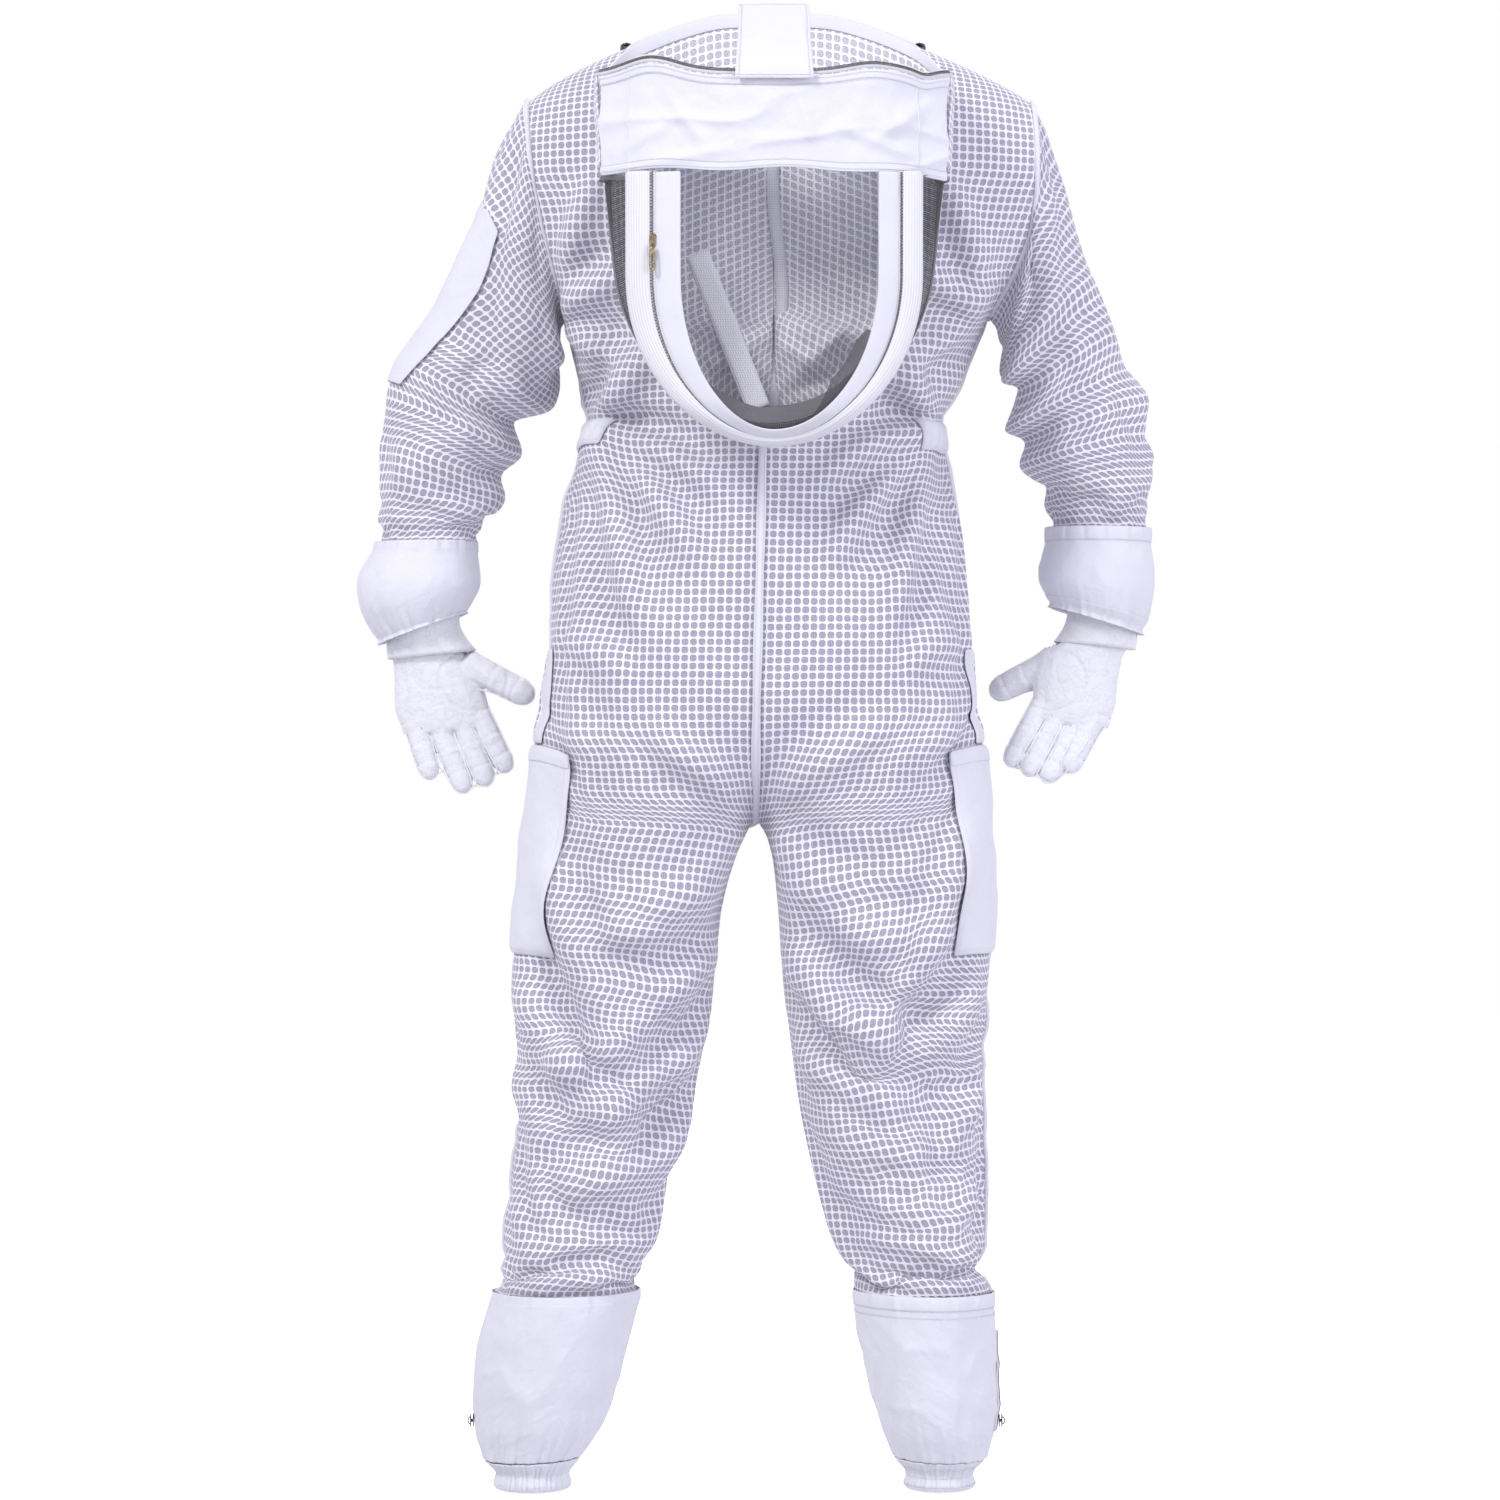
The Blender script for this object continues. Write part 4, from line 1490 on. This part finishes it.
def build_gusset():
    """Slack mesh between the back of the neckline and the hood's edge. It bends as the hood turns."""
    reach, most = 72, 0.70 * 72 / 88
    lines = {side: hood_profile(side, 0.0, 121) for side in (-1, 1)}
    places = np.linspace(0, 1, 121)
    across = np.linspace(0, 1, 25)[:, None]
    grid = []
    for degrees in np.linspace(-reach, reach, 81):
        ring = neck_ring(math.pi - math.radians(degrees), 0.0010, 0.0)
        share = 1 - abs(degrees) / reach * most
        line = lines[-1 if degrees < 0 else 1]
        hood = np.array([np.interp(share, places, line[:, j]) for j in range(3)]) + (0, -0.0010, -0.0030)
        grid.append(ring * (1 - across) + hood * across - np.sin(np.pi * across) * (0, 0, 0.004))
    grid = np.array(grid).transpose(1, 0, 2)
    piece = sheet_piece("neck_gusset", grid, "mesh_hood", "", uv=arc_uv(grid))
    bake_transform(piece)


def box_centre(node):
    low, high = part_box(node)
    return np.array((low + high) / 2)


def slider(node, at, along, up, mat, scale=1.0):
    """A zip slider: two lipped plates, a bridge between them and a bail."""
    along, up = unit(np.asarray(along, float)), np.asarray(up, float)
    up = unit(up - along * (up @ along))
    side = np.cross(along, up)
    heap = Heap()
    n = 24
    for level, thick in ((0.0012, 0.0011), (-0.0014, 0.0009)):
        outline = []
        for a in np.linspace(0, 2 * math.pi, n, endpoint=False):
            c, s = math.cos(a), math.sin(a)
            long_way = 0.0068 * np.sign(s) * abs(s) ** 0.7
            wide = (0.0043 + 0.0008 * s) * np.sign(c) * abs(c) ** 0.8
            outline.append(at + (along * long_way + side * wide) * scale)
        outline = np.array(outline)
        rows = [outline + up * (level - thick / 2) * scale, outline + up * (level + thick / 4) * scale,
                at + (outline - at) * 0.86 + up * (level + thick / 2) * scale]
        points = np.concatenate(rows)
        faces = [tuple(reversed(range(n))), tuple(range(2 * n, 3 * n))]
        faces += [(r * n + k, r * n + (k + 1) % n, (r + 1) * n + (k + 1) % n, (r + 1) * n + k)
                  for r in range(2) for k in range(n)]
        heap.add(points, faces)
    heap.add(*block(at, (side, up, along), (0.0016 * scale, 0.0036 * scale, 0.0030 * scale)))
    arch = ((-0.0035, 0.0016), (-0.0030, 0.0032), (0, 0.0040), (0.0030, 0.0032), (0.0035, 0.0016))
    bail = [at + (along * x + up * y) * scale for x, y in arch]
    heap.add(*tube_along(resample(bail, 14), 0.0006 * scale, 8))
    heap.done(node.replace("slider", "slider_body"), mat, node, node)


def pull_tab(node, up, width):
    """A stamped pull with an eye at its top and a slot below."""
    low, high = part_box(node)
    top, length = np.array([(low.x + high.x) / 2, (low.y + high.y) / 2, high.z]), high.z - low.z
    down, up = np.array([0, 0, -1.0]), np.asarray(up, float)
    side = np.cross(down, up)
    heap = Heap()
    outer, inner = [], []
    for a in np.linspace(0, 2 * math.pi, 32, endpoint=False):
        c, s = math.cos(a), math.sin(a)
        flare = 0.82 + 0.18 * (0.5 - 0.5 * c)
        reach, wide = np.sign(c) * abs(c) ** 0.75, np.sign(s) * abs(s) ** 0.6
        outer.append(top + down * length * (0.50 - 0.50 * reach) + side * width * 0.50 * flare * wide)
        inner.append(top + down * length * (0.60 - 0.27 * reach) + side * width * 0.22 * wide)
    outer, inner = np.array(outer), np.array(inner)
    rows = [outer - up * 0.0005, outer + up * 0.0005, inner + up * 0.0006, inner - up * 0.0006]
    faces = []
    for r in range(4):
        for k in range(32):
            faces.append((r * 32 + k, r * 32 + (k + 1) % 32, (r + 1) % 4 * 32 + (k + 1) % 32, (r + 1) % 4 * 32 + k))
    heap.add(np.concatenate(rows), faces)
    eye = [top + down * 0.0022 * (1 + math.cos(a)) + side * 0.0018 * math.sin(a)
           for a in np.linspace(0, 2 * math.pi, 16, endpoint=False)]
    heap.add(*tube_along(np.array(eye), 0.0005, 6, closed=True))
    heap.done(node + "_tab", "brass", node, node)


def build_neckline(threads):
    """The suit's neckline zip with its open ends, two sliders and the cotton facing."""
    turn = np.linspace(0, 2 * math.pi, 240, endpoint=False)
    section = ((-0.0078, 0.0042), (-0.0050, 0.0040), (-0.0020, 0.0034), (0.0008, 0.0016), (0.0020, -0.0020),
               (0.0012, -0.0060))
    tape = np.stack([neck_ring(turn, grow, lift) for grow, lift in section])
    sheet_piece("neckline_tape", tape, "cotton_smooth", "suit", "neck_zip_suit_side", wrap=True, thick=0.0012,
                levels=1)
    line = neck_ring(turn, -0.0082, 0.0044)
    line = np.concatenate([line, line[:1]])
    up = np.tile(NECK_UP, (len(line), 1))
    zip_teeth("neckline_teeth", line, up, "suit", spread=0.0)
    stitches(threads, neck_ring(np.append(turn, 0.0), -0.0020, 0.0040), up, lift=0.0004)
    for word in ("left", "right"):
        node = f"neck_slider_{word}"
        slider(node, box_centre(node) + (0, 0, 0.004), (0, 1, -math.tan(NECK_TILT)), NECK_UP, "gunmetal", 1.5)


# ---------------------------------------------------------------- front zip, ankle zips, veil zip slider
def build_zips(cuffs, threads):
    low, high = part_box("front_zip")
    z = np.linspace(high.z, low.z, 120)
    x = seam_x(z)
    line = np.stack([x, np.full(120, high.y + 0.0004), z], axis=1)
    grid = np.stack([line + (dx, -0.0009 - (0.002 if abs(dx) == 0.014 else 0), 0)
                     for dx in (-0.014, -0.012, -0.005, 0.005, 0.012, 0.014)], axis=1)
    sheet_piece("front_zip_tape", grid, "tape", "suit", "front_zip", thick=0.0012, flip=True)
    up = np.tile([0, 1.0, 0], (120, 1))
    zip_teeth("front_zip_teeth", line, up, "suit", pitch=0.0028, size=(0.0042, 0.0016, 0.0016))
    for dx in (-0.0105, 0.0105):
        stitches(threads, line + (dx, -0.0005, 0), up)
    placket = np.stack([line + (dx, 0.0004 * math.cos(dx * 90) - 0.0034, 0)
                        for dx in np.linspace(-0.028, 0.028, 9)], axis=1)
    sheet_piece("front_placket", placket, "cotton_smooth", "suit", thick=0.0014, flip=True)
    slider("front_slider", box_centre("front_slider") + (0, -0.001, 0), (0, 0, 1), (0, 1, 0), "brass", 1.1)
    pull_tab("front_pull", (0, 1, 0), 0.0075)
    slider("veil_slider", box_centre("veil_slider") + (0, 0.0006, 0), (0, -0.1, 0.99), (0, -1, -0.1), "brass")
    pull_tab("veil_pull", (0, -1, 0), 0.0066)
    for side, word in ((-1, "left"), (1, "right")):
        low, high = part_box(f"ankle_zip_{word}")
        middle = (low.y + high.y) / 2
        z = np.linspace(high.z, low.z, 50)
        line = cuffs[f"ankle_cuff_{word}"]
        x = np.interp(-z, -line[:, 2], line[:, 0]) + side * 0.0016
        line = np.stack([x, np.full(50, middle), z], axis=1)
        grid = np.stack([line + (-side * (0.0020 if abs(u) == 1 else 0.0006), u * 0.0075, 0)
                         for u in (-1, -0.8, -0.2, 0.2, 0.8, 1)], axis=1)
        sheet_piece(f"ankle_zip_tape_{word}", grid, "tape", "suit", f"ankle_zip_{word}", thick=0.0012,
                    flip=side < 0)
        zip_teeth(f"ankle_zip_teeth_{word}", line, np.tile([side, 0, 0.0], (50, 1)), "suit")
        node = f"ankle_slider_{word}"
        centre = box_centre(node)
        centre[0] = np.interp(-centre[2], -z, x) + side * 0.0030
        slider(node, centre, (0, 0, 1), (side, 0, 0), "gunmetal")


# ---------------------------------------------------------------- gloves
# Finger root, tip and radius, for the seams and the knuckle creases
FINGERS = {
    "left": (
        ((-0.352, 0.014, -0.690), (-0.334, 0.006, -0.750), 0.0115),
        ((-0.330, 0.014, -0.690), (-0.299, 0.004, -0.764), 0.0120),
        ((-0.308, 0.014, -0.686), (-0.277, 0.004, -0.757), 0.0120),
        ((-0.288, 0.014, -0.682), (-0.257, 0.008, -0.743), 0.0115),
        ((-0.302, 0.010, -0.632), (-0.231, 0.004, -0.669), 0.0140),
    ),
    "right": (
        ((0.334, 0.014, -0.682), (0.302, 0.006, -0.744), 0.0115),
        ((0.318, 0.014, -0.684), (0.280, 0.004, -0.753), 0.0120),
        ((0.299, 0.014, -0.680), (0.261, 0.004, -0.746), 0.0120),
        ((0.280, 0.014, -0.672), (0.244, 0.008, -0.737), 0.0115),
        ((0.290, 0.016, -0.632), (0.228, 0.040, -0.664), 0.0140),
    ),
}


def remeshed(node, voxel, smooth):
    """The points and faces of a CAD solid, remeshed evenly and relaxed."""
    mesh = NODES[node].data.copy()
    obj = bpy.data.objects.new("remeshing", mesh)
    bpy.context.scene.collection.objects.link(obj)
    weld = obj.modifiers.new("weld", "WELD")
    weld.merge_threshold = 0.00002
    grid = obj.modifiers.new("remesh", "REMESH")
    grid.mode, grid.voxel_size = "VOXEL", voxel
    relax = obj.modifiers.new("relax", "SMOOTH")
    relax.factor, relax.iterations = 0.5, smooth
    graph = bpy.context.evaluated_depsgraph_get()
    made = obj.evaluated_get(graph).to_mesh()
    points = np.array([v.co[:] for v in made.vertices])
    normals = np.array([v.normal[:] for v in made.vertices])
    faces = [tuple(p.vertices) for p in made.polygons]
    bpy.data.objects.remove(obj)
    return points, normals, faces


GAUNTLETS = {
    "left": (
        (-0.3553, -0.470, -0.2933, -0.470, 0.035, 0.014),
        (-0.3631, -0.520, -0.3011, -0.520, 0.035, 0.014),
        (-0.3709, -0.570, -0.3089, -0.570, 0.035, 0.014),
        (-0.3768, -0.598, -0.3105, -0.596, 0.034, 0.014),
        (-0.3785, -0.614, -0.3020, -0.609, 0.031, 0.014),
        (-0.3765, -0.629, -0.2915, -0.621, 0.029, 0.014),
    ),
    "right": (
        (0.3592, -0.460, 0.2932, -0.460, 0.036, 0.014),
        (0.3640, -0.510, 0.2980, -0.510, 0.036, 0.014),
        (0.3688, -0.560, 0.3028, -0.560, 0.036, 0.014),
        (0.3735, -0.590, 0.3040, -0.588, 0.035, 0.014),
        (0.3750, -0.605, 0.2990, -0.601, 0.031, 0.014),
        (0.3720, -0.620, 0.2900, -0.611, 0.029, 0.014),
    ),
}


def build_gloves():
    for k, word in enumerate(("left", "right")):
        node = f"glove_hand_{word}"
        points, normals, faces = remeshed(node, 0.0016, 10)
        tree = BVHTree.FromPolygons(points.tolist(), faces)
        lift = 0.0010 + 0.0007 * bumps(points, 34.0, 160 + k, 2, (1, 1, 0.8))
        crease = np.clip(1 - 3.5 * np.abs(bumps(points, 24.0, 170 + k, 2, (0.8, 1, 1.3))), 0, 1)
        lift -= 0.0007 * crease**2
        for root, tip, radius in FINGERS[word]:
            root, tip = np.array(root), np.array(tip)
            along = (tip - root) / np.linalg.norm(tip - root)
            s = (points - root) @ along
            off = np.linalg.norm(points - root - s[:, None] * along, axis=1)
            near = np.exp(-np.clip(off - radius, 0, 1) / 0.002) * (s > -0.004)
            length = np.linalg.norm(tip - root)
            for place in (0.02, 0.40, 0.72):
                lift -= 0.0007 * near * np.exp(-(((s - place * length) / 0.0016) ** 2))
                lift += 0.0005 * near * np.exp(-(((s - place * length - 0.0045) / 0.0030) ** 2))
        side = -1 if word == "left" else 1
        palm = np.array([(0.322 if side > 0 else -0.328), 0.0, -0.655])
        arc = np.linalg.norm((points - palm) * (1, 0, 1.1) - np.array([-side * 0.036, 0, 0.006]), axis=1)
        front = np.clip((0.012 - points[:, 1]) / 0.02, 0, 1)
        lift -= 0.0016 * front * np.exp(-(((arc - 0.034) / 0.0018) ** 2))
        made = points + normals * lift[:, None]
        flat = [made[v][[0, 2]] for f in faces for v in f]
        object_from(f"glove_{word}_leather", made, faces, flat, "leather", f"glove_{word}", node)
        piping = Heap()
        for root, tip, radius in FINGERS[word]:
            root, tip = np.array(root), np.array(tip)
            along = (tip - root) / np.linalg.norm(tip - root)
            across = np.cross(along, (0, 1, 0))
            across /= np.linalg.norm(across)
            length = np.linalg.norm(tip - root)
            path = []
            for a in np.linspace(-1, 1, 46):
                if abs(a) > 0.42:
                    s = (1 - (abs(a) - 0.42) / 0.58) * (length - radius)
                    reach = across * math.copysign(radius * 1.2, a)
                else:
                    turn = a / 0.42 * math.pi / 2
                    s = length - radius + radius * math.cos(turn) * 1.15
                    reach = across * radius * 1.2 * math.sin(turn)
                p = root + along * s + reach + np.array([0, -0.0042, 0])
                hit, normal, _, _ = tree.find_nearest(Vector(p))
                if hit is not None and (Vector(p) - hit).length < 0.009:
                    path.append(np.array(hit) + np.array(normal) * 0.0012)
            if len(path) > 8:
                path = np.array(path)
                relax(path, 2)
                piping.add(*tube_along(resample(path, 90), 0.00085, 6))
        piping.done(f"glove_{word}_piping", "piping", f"glove_{word}")
        grid = rings(GAUNTLETS[word], 72, 0.005)
        soft = bumps(grid, 18.0, 180 + k)
        soft_tube(f"gauntlet_{word}_cloth", grid, f"gauntlet_{word}", f"glove_{word}", 0.0010 * soft, "leather", 0)


def main():
    build_stage()
    cloth = build_suit()
    build_trims(cloth)
    build_sleeve_pocket(cloth)
    cuffs = build_cuffs()
    hood_threads, suit_threads = Heap(), Heap()
    build_chin(hood_threads)
    build_arch(hood_threads)
    build_bag()
    build_hood_inside()
    hood_threads.done("hood_stitching", "thread", "hood")
    build_flap()
    build_gusset()
    build_neckline(suit_threads)
    build_zips(cuffs, suit_threads)
    suit_threads.done("zip_stitching", "thread", "suit")
    build_gloves()


main()
